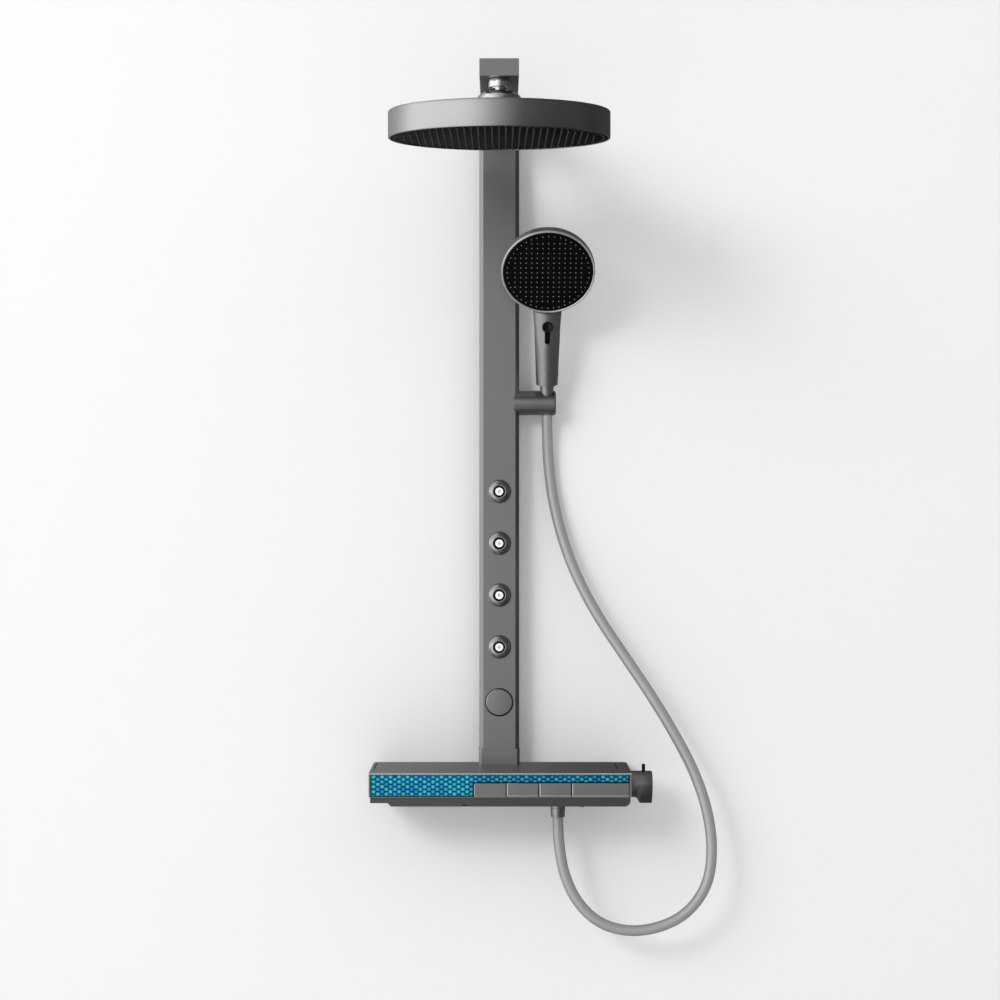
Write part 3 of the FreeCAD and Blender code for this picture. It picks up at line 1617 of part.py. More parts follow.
def hose_points():
    """The route with its two ends, which lie on the axes of their nuts."""
    middle = value(COLUMN_MIDDLE)
    level, tilt = SIZES["holder_level"], math.radians(SIZES["holder_tilt"])

    def on_nut(s):
        return FreeCAD.Vector(SIZES["cradle_at"], middle - s * math.sin(tilt), level + s * math.cos(tilt))

    top = SIZES["nut_seat"] - SIZES["cut_overrun"]
    straight = SIZES["nut_top"] + SIZES["nut_low_radius"]
    low = -SIZES["outlet_drop"] - SIZES["running_gap"]
    last_straight = low - (SIZES["lower_nut_drop"] - SIZES["outlet_drop"]) - SIZES["hose_radius"] * 2
    outlet = (SIZES["outlet_at"], -SIZES["valve_axis"])
    ends = [on_nut(top), on_nut(-straight)]
    return ends + [FreeCAD.Vector(*spot) for spot in HOSE_ROUTE] + [
        FreeCAD.Vector(*outlet, last_straight), FreeCAD.Vector(*outlet, low),
    ]


def make_hose():
    """A tube along straight runs joined by tangent arcs."""
    spots = hose_points()
    edges, radii = [], []
    here = spots[0]
    for before, corner, after in zip(spots, spots[1:], spots[2:]):
        back, ahead = before - corner, after - corner
        half_turn = (math.pi - back.getAngle(ahead)) / 2
        reach = HOSE_ARC_SHARE * min(back.Length, ahead.Length)
        radius = reach / math.tan(half_turn)
        start = corner + back.normalize() * reach
        end = corner + ahead.normalize() * reach
        inward = (back + ahead).normalize()
        centre = corner + inward * (radius / math.cos(half_turn))
        edges.append(Part.LineSegment(here, start).toShape())
        edges.append(Part.Arc(start, centre - inward * radius, end).toShape())
        radii.append(round(radius))
        here = end
    edges.append(Part.LineSegment(here, spots[-1]).toShape())
    path = Part.Wire(edges)
    radius = SIZES["hose_radius"]
    along = (spots[1] - spots[0]).normalize()
    side = along.cross(FreeCAD.Vector(0, 1, 0)).normalize()
    front = along.cross(side)
    steps = [math.tau * number / HOSE_SIDES for number in range(HOSE_SIDES + 1)]
    corners = [spots[0] + (side * math.cos(step) + front * math.sin(step)) * radius for step in steps]
    tube = path.makePipeShell([Part.makePolygon(corners)], True, False)
    section = Part.Face(Part.makePolygon(corners)).Area
    print("hose length", round(path.Length, 1), "bend radii", radii)
    print("hose volume against section times length", round(tube.Volume / (section * path.Length), 4))
    hose = document.addObject("Part::Feature", "hose")
    hose.Shape = tube
    hose.Placement = FreeCAD.Placement()
    keep(hose, "hose")


def check(thing):
    if {"Invalid", "Error"} & set(thing.State):
        raise RuntimeError("%s (%s) failed: %s" % (thing.Label, thing.Name, thing.State))


make_column()
make_foot()
make_bracket()
make_arm()
make_arm_cap()
make_top_block()
make_risers()
make_outlet()
make_swivel()
make_head()
make_jets()
make_manifold()
make_button()
make_shelf()
make_lower_cover()
make_cover_screw()
make_light()
make_keys()
make_valve()
make_unions()
make_knob()
make_lower_nut()
make_holder()
make_hose_nut()
make_spray()
make_spray_face()
make_hose()

document.recompute()
for thing in document.Objects:
    check(thing)
os.makedirs("parts", exist_ok=True)
for label, thing in sorted(parts.items()):
    shape = thing.Shape
    if shape.isNull() or not shape.isValid() or not shape.Solids:
        raise RuntimeError(label + " has no valid solid")
    shape.exportStep("parts/%s.step" % label)
    print(label, "solids", len(shape.Solids), "volume", round(shape.Volume))
print(len(parts), "parts")
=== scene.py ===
import json
import math

import bmesh
import bpy
from mathutils import Matrix, Vector

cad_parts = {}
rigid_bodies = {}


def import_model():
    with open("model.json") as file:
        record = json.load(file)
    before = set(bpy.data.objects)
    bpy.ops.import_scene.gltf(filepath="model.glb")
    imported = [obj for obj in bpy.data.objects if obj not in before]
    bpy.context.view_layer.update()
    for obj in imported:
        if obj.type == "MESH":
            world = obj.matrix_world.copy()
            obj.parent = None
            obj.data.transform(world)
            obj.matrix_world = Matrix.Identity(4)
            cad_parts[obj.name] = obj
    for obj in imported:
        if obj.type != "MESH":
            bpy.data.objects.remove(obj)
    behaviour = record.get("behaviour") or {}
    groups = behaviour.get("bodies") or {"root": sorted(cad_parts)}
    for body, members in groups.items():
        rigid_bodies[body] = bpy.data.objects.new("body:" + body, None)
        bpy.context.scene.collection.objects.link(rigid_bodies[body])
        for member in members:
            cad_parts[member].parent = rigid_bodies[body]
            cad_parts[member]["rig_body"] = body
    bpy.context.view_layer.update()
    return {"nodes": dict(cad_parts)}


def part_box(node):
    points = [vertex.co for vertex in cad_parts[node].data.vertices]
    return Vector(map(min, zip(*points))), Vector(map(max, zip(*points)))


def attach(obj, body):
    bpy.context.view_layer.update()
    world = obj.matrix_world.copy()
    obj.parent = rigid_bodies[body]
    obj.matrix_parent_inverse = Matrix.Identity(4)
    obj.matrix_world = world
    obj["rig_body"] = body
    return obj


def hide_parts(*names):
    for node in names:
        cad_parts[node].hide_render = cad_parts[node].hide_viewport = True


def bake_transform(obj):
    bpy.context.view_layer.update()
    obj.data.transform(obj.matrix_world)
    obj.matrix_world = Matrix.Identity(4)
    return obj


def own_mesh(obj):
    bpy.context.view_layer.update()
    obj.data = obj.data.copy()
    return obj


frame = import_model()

scene = bpy.context.scene
mm = 0.001
tau = math.tau
print("frame loaded:", len(frame["nodes"]), "nodes")


# Small tools for materials

def linearColour(text):
    # "#rrggbb" as a screen shows it, turned into the linear numbers that shaders use
    parts = [int(text[i:i + 2], 16) / 255 for i in (1, 3, 5)]
    return [p / 12.92 if p <= 0.04045 else ((p + 0.055) / 1.055) ** 2.4 for p in parts] + [1.0]


def addNode(tree, kind, inputs=None, **settings):
    # one node with its settings; an input is either a plain value or another node's output
    node = tree.nodes.new(kind)
    for key, setting in settings.items():
        setattr(node, key, setting)
    for key, source in (inputs or {}).items():
        if isinstance(source, bpy.types.NodeSocket):
            tree.links.new(source, node.inputs[key])
        else:
            node.inputs[key].default_value = source
    return node


def mathOf(tree, operation, *numbers):
    # one sum, with plain numbers or other nodes' outputs in it
    return addNode(tree, "ShaderNodeMath", dict(enumerate(numbers)), operation=operation).outputs[0]


def rangeOf(tree, source, low, high, start=0.0, end=1.0):
    # goes from start to end while the source goes from low to high
    return addNode(tree, "ShaderNodeMapRange", {
        "Value": source, "From Min": low, "From Max": high, "To Min": start, "To Max": end}).outputs[0]


def mixOf(tree, share, first, second, blend="MIX"):
    # two colours mixed by a share
    return addNode(
        tree, "ShaderNodeMix", {0: share, 6: first, 7: second}, data_type="RGBA", blend_type=blend).outputs[2]


def noiseOf(tree, place, size, detail):
    # soft patches of about the given size in millimetres
    inputs = {"Vector": place, "Scale": 1 / (size * mm), "Detail": detail}
    return addNode(tree, "ShaderNodeTexNoise", inputs).outputs["Fac"]


def attributeOf(tree, name):
    return addNode(tree, "ShaderNodeAttribute", attribute_name=name).outputs["Fac"]


def rampOf(tree, source, stops, interpolation="LINEAR"):
    # a colour that follows a number through the given (number, colour) stops
    node = addNode(tree, "ShaderNodeValToRGB", {"Fac": source})
    ramp = node.color_ramp
    ramp.interpolation = interpolation
    while len(ramp.elements) < len(stops):
        ramp.elements.new(0.5)
    for element, (spot, colour) in zip(ramp.elements, stops):
        element.position = spot
        element.color = colour
    return node.outputs["Color"]


def newMaterial(name, slot, **shaderInputs):
    # a material with its main shader set; underscores stand for the spaces in an input's name
    material = bpy.data.materials.new(name)
    material.use_nodes = True
    material["slot"] = slot
    shader = material.node_tree.nodes["Principled BSDF"]
    for key, setting in shaderInputs.items():
        shader.inputs[key.replace("_", " ")].default_value = setting
    return material, material.node_tree, shader


speckle = {
    "wideShare": 60, "fineDetail": 2.0, "wideDetail": 3.0, "colourSweep": (0.7, 1.3),
    "roughSweep": (0.3, 0.7), "roughChange": 0.04, "lift": 0.0001}


def grained(name, slot, colour, spread, grain, bump, roughness, **shaderInputs):
    # a speckled finish: colour and roughness vary a little, and the same grain lifts the surface
    material, tree, shader = newMaterial(name, slot, **shaderInputs)
    place = addNode(tree, "ShaderNodeTexCoord").outputs["Object"]
    fine = noiseOf(tree, place, grain, speckle["fineDetail"])
    wide = noiseOf(tree, place, grain * speckle["wideShare"], speckle["wideDetail"])
    light, dark = [
        [level * change for level in linearColour(colour)[:3]] + [1.0] for change in (1 + spread, 1 - spread)]
    share = rangeOf(tree, mathOf(tree, "ADD", fine, wide), *speckle["colourSweep"])
    tree.links.new(mixOf(tree, share, dark, light), shader.inputs["Base Color"])
    smoothest, roughest = roughness - speckle["roughChange"], roughness + speckle["roughChange"]
    rough = rangeOf(tree, wide, *speckle["roughSweep"], smoothest, roughest)
    tree.links.new(rough, shader.inputs["Roughness"])
    lifted = addNode(tree, "ShaderNodeBump", {"Height": fine, "Strength": bump, "Distance": speckle["lift"]})
    tree.links.new(lifted.outputs[0], shader.inputs["Normal"])
    return material


# Small tools for shapes

def objectOf(name, mesh):
    piece = bpy.data.objects.new(name, mesh)
    scene.collection.objects.link(piece)
    return piece


def shadeSmooth(mesh, smooth=32):
    mesh.shade_smooth()
    mesh.set_sharp_from_angle(angle=math.radians(smooth))


def shapeOf(*meshes):
    shape = bmesh.new()
    for mesh in meshes:
        shape.from_mesh(mesh)
    return shape


def meshOf(shape, name):
    mesh = bpy.data.meshes.new(name)
    shape.to_mesh(mesh)
    shape.free()
    return mesh


def finishMesh(shape, name, smooth=32):
    # a closed shape in millimetres becomes a mesh in metres, shaded smooth up to the given edge angle
    bmesh.ops.recalc_face_normals(shape, faces=shape.faces)
    mesh = meshOf(shape, name)
    mesh.transform(Matrix.Scale(mm, 4))
    shadeSmooth(mesh, smooth)
    return mesh


def fitKept(piece, material, body, *nodes):
    # the body that carries a piece and the nodes that it stands for; its finish stays as it is
    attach(piece, body)
    if nodes:
        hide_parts(*nodes)
    return piece


def fit(piece, material, body, *nodes):
    # the last step of most pieces: the finish, the body and the nodes
    piece.data.materials.clear()
    piece.data.materials.append(material)
    return fitKept(piece, material, body, *nodes)


def evaluatedMesh(thing):
    bpy.context.view_layer.update()
    graph = bpy.context.evaluated_depsgraph_get()
    return bpy.data.meshes.new_from_object(
        thing.evaluated_get(graph), preserve_all_data_layers=True, depsgraph=graph)


def settle(piece):
    # applies what modifiers the piece has
    mesh = evaluatedMesh(piece)
    piece.modifiers.clear()
    piece.data = mesh
    return piece


def seatAt(x, y, z, turn=0.0):
    # a place in millimetres, turned about the X axis by degrees
    return Matrix.Translation((x, y, z)) @ Matrix.Rotation(math.radians(turn), 4, "X")


def circle(count, radius=1.0):
    return [(radius * math.cos(tau * k / count), radius * math.sin(tau * k / count)) for k in range(count)]


def bridge(shape, low, high):
    # faces between two rings of vertices; a ring of one vertex is a pole
    count = max(len(low), len(high))
    made = []
    for k in range(count if count > 1 else 0):
        after = (k + 1) % count
        if len(low) == 1:
            made.append(shape.faces.new((low[0], high[k], high[after])))
        elif len(high) == 1:
            made.append(shape.faces.new((low[k], low[after], high[0])))
        else:
            made.append(shape.faces.new((low[k], low[after], high[after], high[k])))
    return made


def rounded(corners, closed=True, steps=4):
    # corners (x, y) or (x, y, radius); a radius becomes a short arc
    spots = [Vector(corner[:2]) for corner in corners]
    count = len(corners)
    found = []
    for i, corner in enumerate(corners):
        ends = not closed and i in (0, count - 1)
        if len(corner) < 3 or ends or not corner[2]:
            found.append(spots[i])
            continue
        back = spots[i - 1] - spots[i]
        ahead = spots[(i + 1) % count] - spots[i]
        half = back.angle(ahead) / 2
        reach = min(corner[2] / math.tan(half), back.length * 0.5, ahead.length * 0.5)
        start, end = spots[i] + back.normalized() * reach, spots[i] + ahead.normalized() * reach
        for step in range(steps + 1):
            share = step / steps
            found.append(start * (1 - share) ** 2 + spots[i] * 2 * share * (1 - share) + end * share ** 2)
    return found


def turnedMesh(name, corners, seat, steps=96, closed=True):
    # a section (radius, height) turned about the seat's Z axis; points on the axis become one pole each
    shape = bmesh.new()
    rings = []
    for point in rounded(corners, closed):
        onAxis = abs(point.x) < 1e-6
        around = [(0, 0)] if onAxis else circle(steps, point.x)
        rings.append([shape.verts.new((x, y, point.y)) for x, y in around])
    for low, high in zip(rings, rings[1:] + rings[:1] if closed else rings[1:]):
        bridge(shape, low, high)
    shape.transform(seat)
    return finishMesh(shape, name)


def turned(name, corners, seat, material, body, *nodes, steps=96, closed=True):
    return fit(objectOf(name, turnedMesh(name, corners, seat, steps, closed)), material, body, *nodes)


copying = {"weld": 2e-6, "flatWithin": 0.4, "sharpAbove": 25}


def cleanCopy(node, name, material, bevel=None, smooth=32, even=True):
    # a CAD node's shape as a merged mesh, with small rounded edges where two long flats meet
    source = frame["nodes"][node]
    shape = shapeOf(source.data)
    bmesh.ops.remove_doubles(shape, verts=shape.verts, dist=copying["weld"])
    if even:
        bmesh.ops.dissolve_limit(
            shape, angle_limit=math.radians(copying["flatWithin"]), verts=shape.verts, edges=shape.edges,
            use_dissolve_boundaries=False)
    if bevel:
        sharp = [
            edge for edge in shape.edges
            if len(edge.link_faces) == 2 and edge.calc_length() > bevel["longerThan"] * mm
            and edge.calc_face_angle(0) > math.radians(copying["sharpAbove"])]
        bmesh.ops.bevel(
            shape, geom=sharp, offset=bevel["width"] * mm, segments=bevel["steps"], affect="EDGES",
            profile=0.5, clamp_overlap=True)
    mesh = meshOf(shape, name)
    shadeSmooth(mesh, smooth)
    piece = objectOf(name, mesh)
    if even:
        piece.modifiers.new("evenNormals", "WEIGHTED_NORMAL").keep_sharp = True
        settle(piece)
    return fit(piece, material, source["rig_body"], node)


def paint(piece, material, chosen):
    # gives a second finish to the faces that the test picks by their centre in millimetres and their normal
    piece.data.materials.append(material)
    for face in piece.data.polygons:
        if chosen(face.center / mm, face.normal):
            face.material_index = len(piece.data.materials) - 1


# Materials: name, slot, colour, how far the colour spreads, grain in millimetres, lift, roughness

# Anodised aluminium, bead blasted and dyed gunmetal: an even matt grey with a very fine grain
gunmetal = grained("anodisedAluminium", "anodised_body", "#a5a7a4", 0.05, 0.9, 0.12, 0.37, Metallic=1.0)

# The same aluminium made darker for the housing under the keys: painted shade for the band that lies in
# shadow under the shelf
paintedShadeMetal = grained("paintedShadeAluminium", "anodised_body", "#676966", 0.05, 0.9, 0.12, 0.36, Metallic=0.92)

# A lighter, less metallic copy of the same aluminium for some front chamfers: a painted highlight along those
# edges
paintedHighlight = grained("paintedHighlightAluminium", "anodised_body", "#d2d4d2", 0.03, 0.9, 0.05, 0.35, Metallic=0.45)

# The same finish on the round head's band, where the turned surface shines a little more
turnedMetal = grained(
    "turnedAnodisedAluminium", "anodised_body", "#b2b4b2", 0.04, 0.9, 0.08, 0.27, Metallic=1.0)

# ABS, moulded and sprayed satin grey: softer sheen than the metal, slight orange peel
shellPlastic = grained(
    "sprayedAbs", "handset_shell", "#959794", 0.04, 1.6, 0.10, 0.28,
    Metallic=0.85, Coat_Weight=0.1, Coat_Roughness=0.3)

# ABS for the rim, moulded and sprayed light silver grey
rimPlastic = grained("silverSprayedAbs", "light_rim", "#d8dad8", 0.03, 1.2, 0.06, 0.26, Metallic=0.7)

# Brass, chrome plated and polished: a mirror with a faint ripple
chrome = grained("polishedChrome", "bright_chrome", "#e6e8e9", 0.02, 6.0, 0.03, 0.09, Metallic=1.0)

# Zinc under a dark vapour-deposited layer, polished: the domes round the jets
darkChrome = grained("darkPlatedZinc", "bright_chrome", "#a9abad", 0.03, 4.0, 0.04, 0.20, Metallic=0.95)

# Brass nut under the same gunmetal finish as the column
nutMetal = grained("gunmetalPlatedBrass", "bright_chrome", "#a3a5a2", 0.04, 1.2, 0.08, 0.32, Metallic=0.85)

# ABS, moulded in black with a satin face
blackFace = grained(
    "blackMouldedAbs", "black_face", "#090a09", 0.25, 1.5, 0.10, 0.62, Specular_IOR_Level=0.08)

# ABS, moulded in black and polished: the thumb slide and the knob's pin
glossBlack = grained(
    "polishedBlackAbs", "black_face", "#0b0b0c", 0.15, 2.0, 0.04, 0.20, Specular_IOR_Level=0.3)

# Glass-filled nylon, moulded black, dull from its fibres; also laid on the shelf's slot and the cover's notch
# as painted shade
nylon = grained("glassFilledNylon", "inner_plastic", "#2b2c2d", 0.20, 1.0, 0.20, 0.55)

# Silicone sheet, pressed: the mat behind the head's face
matSilicone = grained("pressedSilicone", "silicone", "#9a9b98", 0.05, 2.0, 0.10, 0.60)

# Brass, cast and machined, unplated inside the housing
castBrass = grained("machinedBrass", "water_brass", "#d2b06a", 0.08, 2.2, 0.15, 0.32, Metallic=1.0)

# Copper, drawn tube with a slightly oxidised skin
copper = grained("drawnCopper", "copper_pipe", "#c9805c", 0.12, 3.0, 0.10, 0.30, Metallic=1.0)

# Zinc, die cast and powder coated grey
castZinc = grained("dieCastZinc", "zinc_block", "#8a8c8c", 0.08, 1.6, 0.25, 0.50, Metallic=0.35)

# Spring steel, drawn wire
springSteel = grained("springSteel", "spring_steel", "#b9bbbd", 0.06, 0.8, 0.10, 0.25, Metallic=1.0)

# Glass-fibre circuit board with a green solder mask
circuitBoard = grained("solderMask", "light_board", "#1f5a37", 0.20, 1.4, 0.15, 0.40, Coat_Weight=0.3)

# Acrylic panel, deep blue behind the lit scales
panelBlue = grained(
    "backlitAcrylic", "light_glass", "#04223a", 0.30, 3.0, 0.05, 0.30,
    Specular_IOR_Level=0.12, Emission_Strength=0.12, Emission_Color=linearColour("#0b4f8c"))

# PVC hose cover, extruded over a wound core: smooth satin grey
hoseCover = grained(
    "pvcHoseCover", "hose_cover", "#acaeab", 0.03, 1.5, 0.04, 0.36, Metallic=0.35, Coat_Weight=0.1)

lit = {
    "patch": 38, "edge": "#012f4c", "dim": 0.6, "glow": (0.72, 0.44), "glowFallsAt": (-42, -20),
    "colours": [
        (0.25, "#1f8cce"), (0.40, "#3ab2e2"), (0.52, "#42c8e2"), (0.64, "#28c2be"), (0.78, "#369ede")]}
jetZones = ((0.0, "#070808"), (0.4, "#f6f7f6"), (0.8, "#b9bbb9"))


def scaleMaterial():
    # Acrylic scales lit from behind: cyan with green-teal patches, each one brightest at its crown
    material, tree, shader = newMaterial(
        "litAcrylicScales", "light_glass", Roughness=0.22, Specular_IOR_Level=0.1)
    place = addNode(tree, "ShaderNodeTexCoord").outputs["Object"]
    hue = mathOf(tree, "ADD", attributeOf(tree, "tone"), noiseOf(tree, place, lit["patch"], 1.0))
    stops = [(spot, linearColour(text)) for spot, text in lit["colours"]]
    colour = rampOf(tree, mathOf(tree, "MULTIPLY", hue, 0.5), stops)
    shade = mixOf(tree, attributeOf(tree, "crown"), linearColour(lit["edge"]), colour)
    tree.links.new(mixOf(tree, lit["dim"], shade, (0, 0, 0, 1)), shader.inputs["Base Color"])
    tree.links.new(shade, shader.inputs["Emission Color"])
    # the thin strip over the keys glows less
    along = addNode(tree, "ShaderNodeSeparateXYZ", {0: place}).outputs["X"]
    start, end = lit["glowFallsAt"]
    glow = rangeOf(tree, along, start * mm, end * mm, *lit["glow"])
    tree.links.new(glow, shader.inputs["Emission Strength"])
    return material


def nozzleMaterial():
    # Silicone nozzles: dark where they leave the face, light grey at their tips
    material, tree, shader = newMaterial(
        "greySilicone", "black_face", Roughness=0.5, Specular_IOR_Level=0.3)
    blend = mixOf(tree, attributeOf(tree, "tip"), linearColour("#161716"), linearColour("#8d8f8b"))
    tree.links.new(blend, shader.inputs["Base Color"])
    return material


def jetMaterial():
    # the jets' nozzle: white tip, a small grey ring round its bore, black ball behind it
    material, tree, shader = newMaterial("whiteAndBlackPom", "white_nozzle", Roughness=0.30)
    stops = [(spot, linearColour(text)) for spot, text in jetZones]
    tree.links.new(rampOf(tree, attributeOf(tree, "zone"), stops, "CONSTANT"), shader.inputs["Base Color"])
    return material


litScales = scaleMaterial()
greyNozzle = nozzleMaterial()
jetFinish = jetMaterial()
print("materials made:", len(bpy.data.materials))


# Camera: level, square to the wall, a little above the shelf
cameraView = {"lens": 79.2, "sensor": 36, "reach": 50, "place": (0.00107, -3.360, 0.4232)}
camera = bpy.data.cameras.new("camera")
camera.lens = cameraView["lens"]
camera.sensor_width = cameraView["sensor"]
camera.clip_end = cameraView["reach"]
cameraObject = objectOf("camera", camera)
cameraObject.location = cameraView["place"]
cameraObject.rotation_euler = (math.pi / 2, 0, 0)
scene.camera = cameraObject
scene.view_settings.view_transform = "Standard"


# Hose: from the hand shower's nut, down and round in one open loop, to the nut under the valve unit
hose = {
    "radius": 8,
    "sides": 24,
    "stepsPerSpan": 12,
    "route": [
        (71.8, -40.92, 597.25), (71.8, -13.83, 522.83),
        (77.6, -12.5, 443), (92, -19, 376), (114, -30, 313), (147, -41, 250), (186, -51, 192),
        (227.5, -61, 131), (262, -69, 74), (292, -76, 17), (311.4, -82, -42), (317.9, -86, -100),
        (309.5, -89, -152), (279.4, -90, -192), (239.3, -90, -212.5), (193, -90, -219),
        (149.5, -89, -207.4), (116.8, -86, -178), (97, -83, -137), (90, -81, -100),
        (87.3, -80, -65.3), (87.3, -80, -36.8)],
    "followsColumnBelow": (0.0718, -0.031, 0.400),
    "followsHolderAbove": (0.0718, -0.020, 0.535),
}


def hoseLine():
    # the hose's centre line: one NURBS spline through the route's control points, read back as points
    curve = bpy.data.curves.new("hoseLine", "CURVE")
    curve.dimensions = "3D"
    spline = curve.splines.new("NURBS")
    spline.points.add(len(hose["route"]) - 1)
    for point, spot in zip(spline.points, hose["route"]):
        point.co = (*(Vector(spot) * mm), 1.0)
    spline.order_u = 3
    spline.use_endpoint_u = True
    spline.resolution_u = hose["stepsPerSpan"]
    holder = objectOf("hoseLine", curve)
    mesh = evaluatedMesh(holder)
    line = [vertex.co.copy() for vertex in mesh.vertices]
    bpy.data.objects.remove(holder)
    return line


def tubeMesh(name, line, radius, sides):
    # a round tube along a line, with its UV map running round and along it, closed at both ends
    shape = bmesh.new()
    layer = shape.loops.layers.uv.new("along")
    along = [(b - a).normalized() for a, b in zip(line, line[1:])]
    along = [along[0]] + [(a + b).normalized() for a, b in zip(along, along[1:])] + [along[-1]]
    side = along[0].cross(Vector((0, 1, 0))).normalized()
    rings, travelled = [], [0.0]
    for before, after in zip(line, line[1:]):
        travelled.append(travelled[-1] + (after - before).length)
    for spot, ahead in zip(line, along):
        side = (side - ahead * side.dot(ahead)).normalized()
        up = ahead.cross(side)
        rings.append([shape.verts.new(spot + (side * c + up * s) * radius) for c, s in circle(sides)])
    for i in range(len(rings) - 1):
        for k, face in enumerate(bridge(shape, rings[i], rings[i + 1])):
            marks = ((k, i), (k + 1, i), (k + 1, i + 1), (k, i + 1))
            for loop, (turn, step) in zip(face.loops, marks):
                loop[layer].uv = (turn / sides, travelled[step])
    shape.faces.new(rings[0])
    shape.faces.new(rings[-1])
    bmesh.ops.recalc_face_normals(shape, faces=shape.faces)
    mesh = meshOf(shape, name)
    shadeSmooth(mesh, 60)
    return mesh, travelled[-1]


hosePoints = hoseLine()
hoseMesh, hoseLength = tubeMesh("handHose", hosePoints, hose["radius"] * mm, hose["sides"])
hosePiece = objectOf("handHose", hoseMesh)
hoseMesh.materials.append(hoseCover)
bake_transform(hosePiece)
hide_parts("hose")
print("hose length", round(hoseLength, 4))


# Hose nuts
upperNut = {
    "low": -17, "lowRadius": 9.2, "midAt": 13.5, "midRadius": 9.6, "top": 41, "topRadius": 12, "bore": 8.3,
    "socket": 2.3, "socketDepth": 10}
lowerNut = {
    "place": (87.3, -80, 0), "top": -25, "bottom": -49, "radius": 11.7, "mouth": 10.3, "bore": 8.3,
    "thread": 10.5, "threadEnd": -36.5, "groove": [(0.55, -36), (0.05, -35.4), (0.6, -34.8)]}
handsetSeat = seatAt(71.8, -31, 570, 20)

socket, socketEnd = upperNut["bore"] + upperNut["socket"], upperNut["top"] - upperNut["socketDepth"]
nut = turned("hoseNutUpper", [
    (upperNut["bore"], upperNut["low"]), (upperNut["lowRadius"], upperNut["low"], 0.5),
    (upperNut["midRadius"], upperNut["midAt"]), (upperNut["topRadius"], upperNut["top"], 0.6),
    (socket, upperNut["top"]), (socket, socketEnd), (upperNut["bore"], socketEnd)],
    handsetSeat, nutMetal, "handset", "hose_nut_upper", steps=64)

groove = [(lowerNut["mouth"] + wider, level) for wider, level in lowerNut["groove"]]
nutLow = turned("hoseNutLower", [
    (lowerNut["bore"], lowerNut["bottom"]), (lowerNut["mouth"], lowerNut["bottom"], 0.8), *groove,
    (lowerNut["radius"], lowerNut["top"], 0.5), (lowerNut["thread"], lowerNut["top"]),
    (lowerNut["thread"], lowerNut["threadEnd"]), (lowerNut["bore"], lowerNut["threadEnd"])],
    seatAt(*lowerNut["place"]), nutMetal, "root", "hose_nut_lower", steps=64)


# Column, arm, holder, shelf and keys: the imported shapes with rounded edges
edges = {
    "plate": {"width": 0.7, "steps": 1, "longerThan": 8},
    "fine": {"width": 0.35, "steps": 2, "longerThan": 8},
    "frame": {"width": 0.8, "steps": 3, "longerThan": 10},
}
recess = {
    "slotX": 188, "slotY": (-101, -29), "slotZ": (22.8, 24.4), "notchX": (-54.8, -46.4),
    "notchY": (-150.9, -149.2), "notchTop": -20.6}
# which faces take the painted highlight, chosen by the way their normal points
bright = {"front": -0.25, "frameSide": 0.25, "plateSide": -0.35}
for node, name in (
        ("column_profile", "columnProfile"), ("column_foot", "columnFoot"), ("arm_tube", "armTube"),
        ("arm_end_cap", "armEndCap")):
    cleanCopy(node, name, gunmetal, edges["fine"])
cleanCopy("holder_base", "holderBase", gunmetal, smooth=1, even=False)
cleanCopy("holder_barrel", "holderBarrel", gunmetal)
cleanCopy("wall_bracket", "wallBracket", castZinc, edges["fine"])
tray = cleanCopy("shelf_tray", "shelfTray", gunmetal, edges["frame"])
# painted highlight: the tray's front chamfers that face up or down take the lighter copy
paint(tray, paintedHighlight, lambda spot, normal: (
    normal.y < bright["front"] and abs(normal.z) > bright["frameSide"]))
# painted shade: the faces of the slot in the aluminium tray take the black nylon finish so the groove reads
# dark
paint(tray, nylon, lambda spot, normal: (
    recess["slotZ"][0] < spot.z < recess["slotZ"][1] and recess["slotY"][0] < spot.y < recess["slotY"][1]
    and abs(spot.x) < recess["slotX"]))
# painted shade: the lower cover takes the darker copy because it sits in shadow under the shelf
cover = cleanCopy("lower_cover", "lowerCover", paintedShadeMetal, edges["frame"])
# painted shade: the faces of the notch in the aluminium cover take the black nylon finish so it reads dark
paint(cover, nylon, lambda spot, normal: (
    recess["notchX"][0] < spot.x < recess["notchX"][1] and spot.z < recess["notchTop"]
    and recess["notchY"][0] < spot.y < recess["notchY"][1]))
plates = [("key_%d" % number, "pushKey%d" % number) for number in (1, 2, 3)]
for node, name in plates + [("fascia_plate", "fasciaPlate")]:
    plate = cleanCopy(node, name, gunmetal, edges["plate"])
    # painted highlight: the chamfers that face front and also left or down take the lighter copy
    paint(plate, paintedHighlight, lambda spot, normal: (
        normal.y < bright["front"] and min(normal.x, normal.z) < bright["plateSide"]))
print("column, arm, shelf and keys dressed")


# Round button with a soft crown
button = {
    "radius": 20.5, "front": -46.3, "chamfer": 1.7, "thick": 3.3, "stem": 4, "stemLength": 9, "level": 118.4}
stemEnd = -button["thick"] - button["stemLength"]
turned("roundButton", [
    (0, 0), (button["radius"] - button["chamfer"], 0, 0.4), (button["radius"], -button["chamfer"], 0.3),
    (button["radius"], -button["thick"]), (button["stem"], -button["thick"]), (button["stem"], stemEnd),
    (0, stemEnd)],
    seatAt(0, button["front"], button["level"], 90), gunmetal, "round_button", "round_button", closed=False)


# Body jets: a plated dome with a white-tipped ball in its mouth
jet = {
    "levels": (436, 358, 280, 202), "front": -45, "radius": 17.8, "mouth": 8.8, "shank": 11.7,
    "cavity": 9.6, "cavityTop": 6.3, "length": 7.5, "height": 9.5, "dome": [(16.2, 5.2, 3.5), (13.2, 8.2, 3)],
    "ball": 9.3, "ballProud": 3, "tipRadius": 5.8, "tipProud": 11.5, "bore": 2.2, "boreDepth": 0.6}


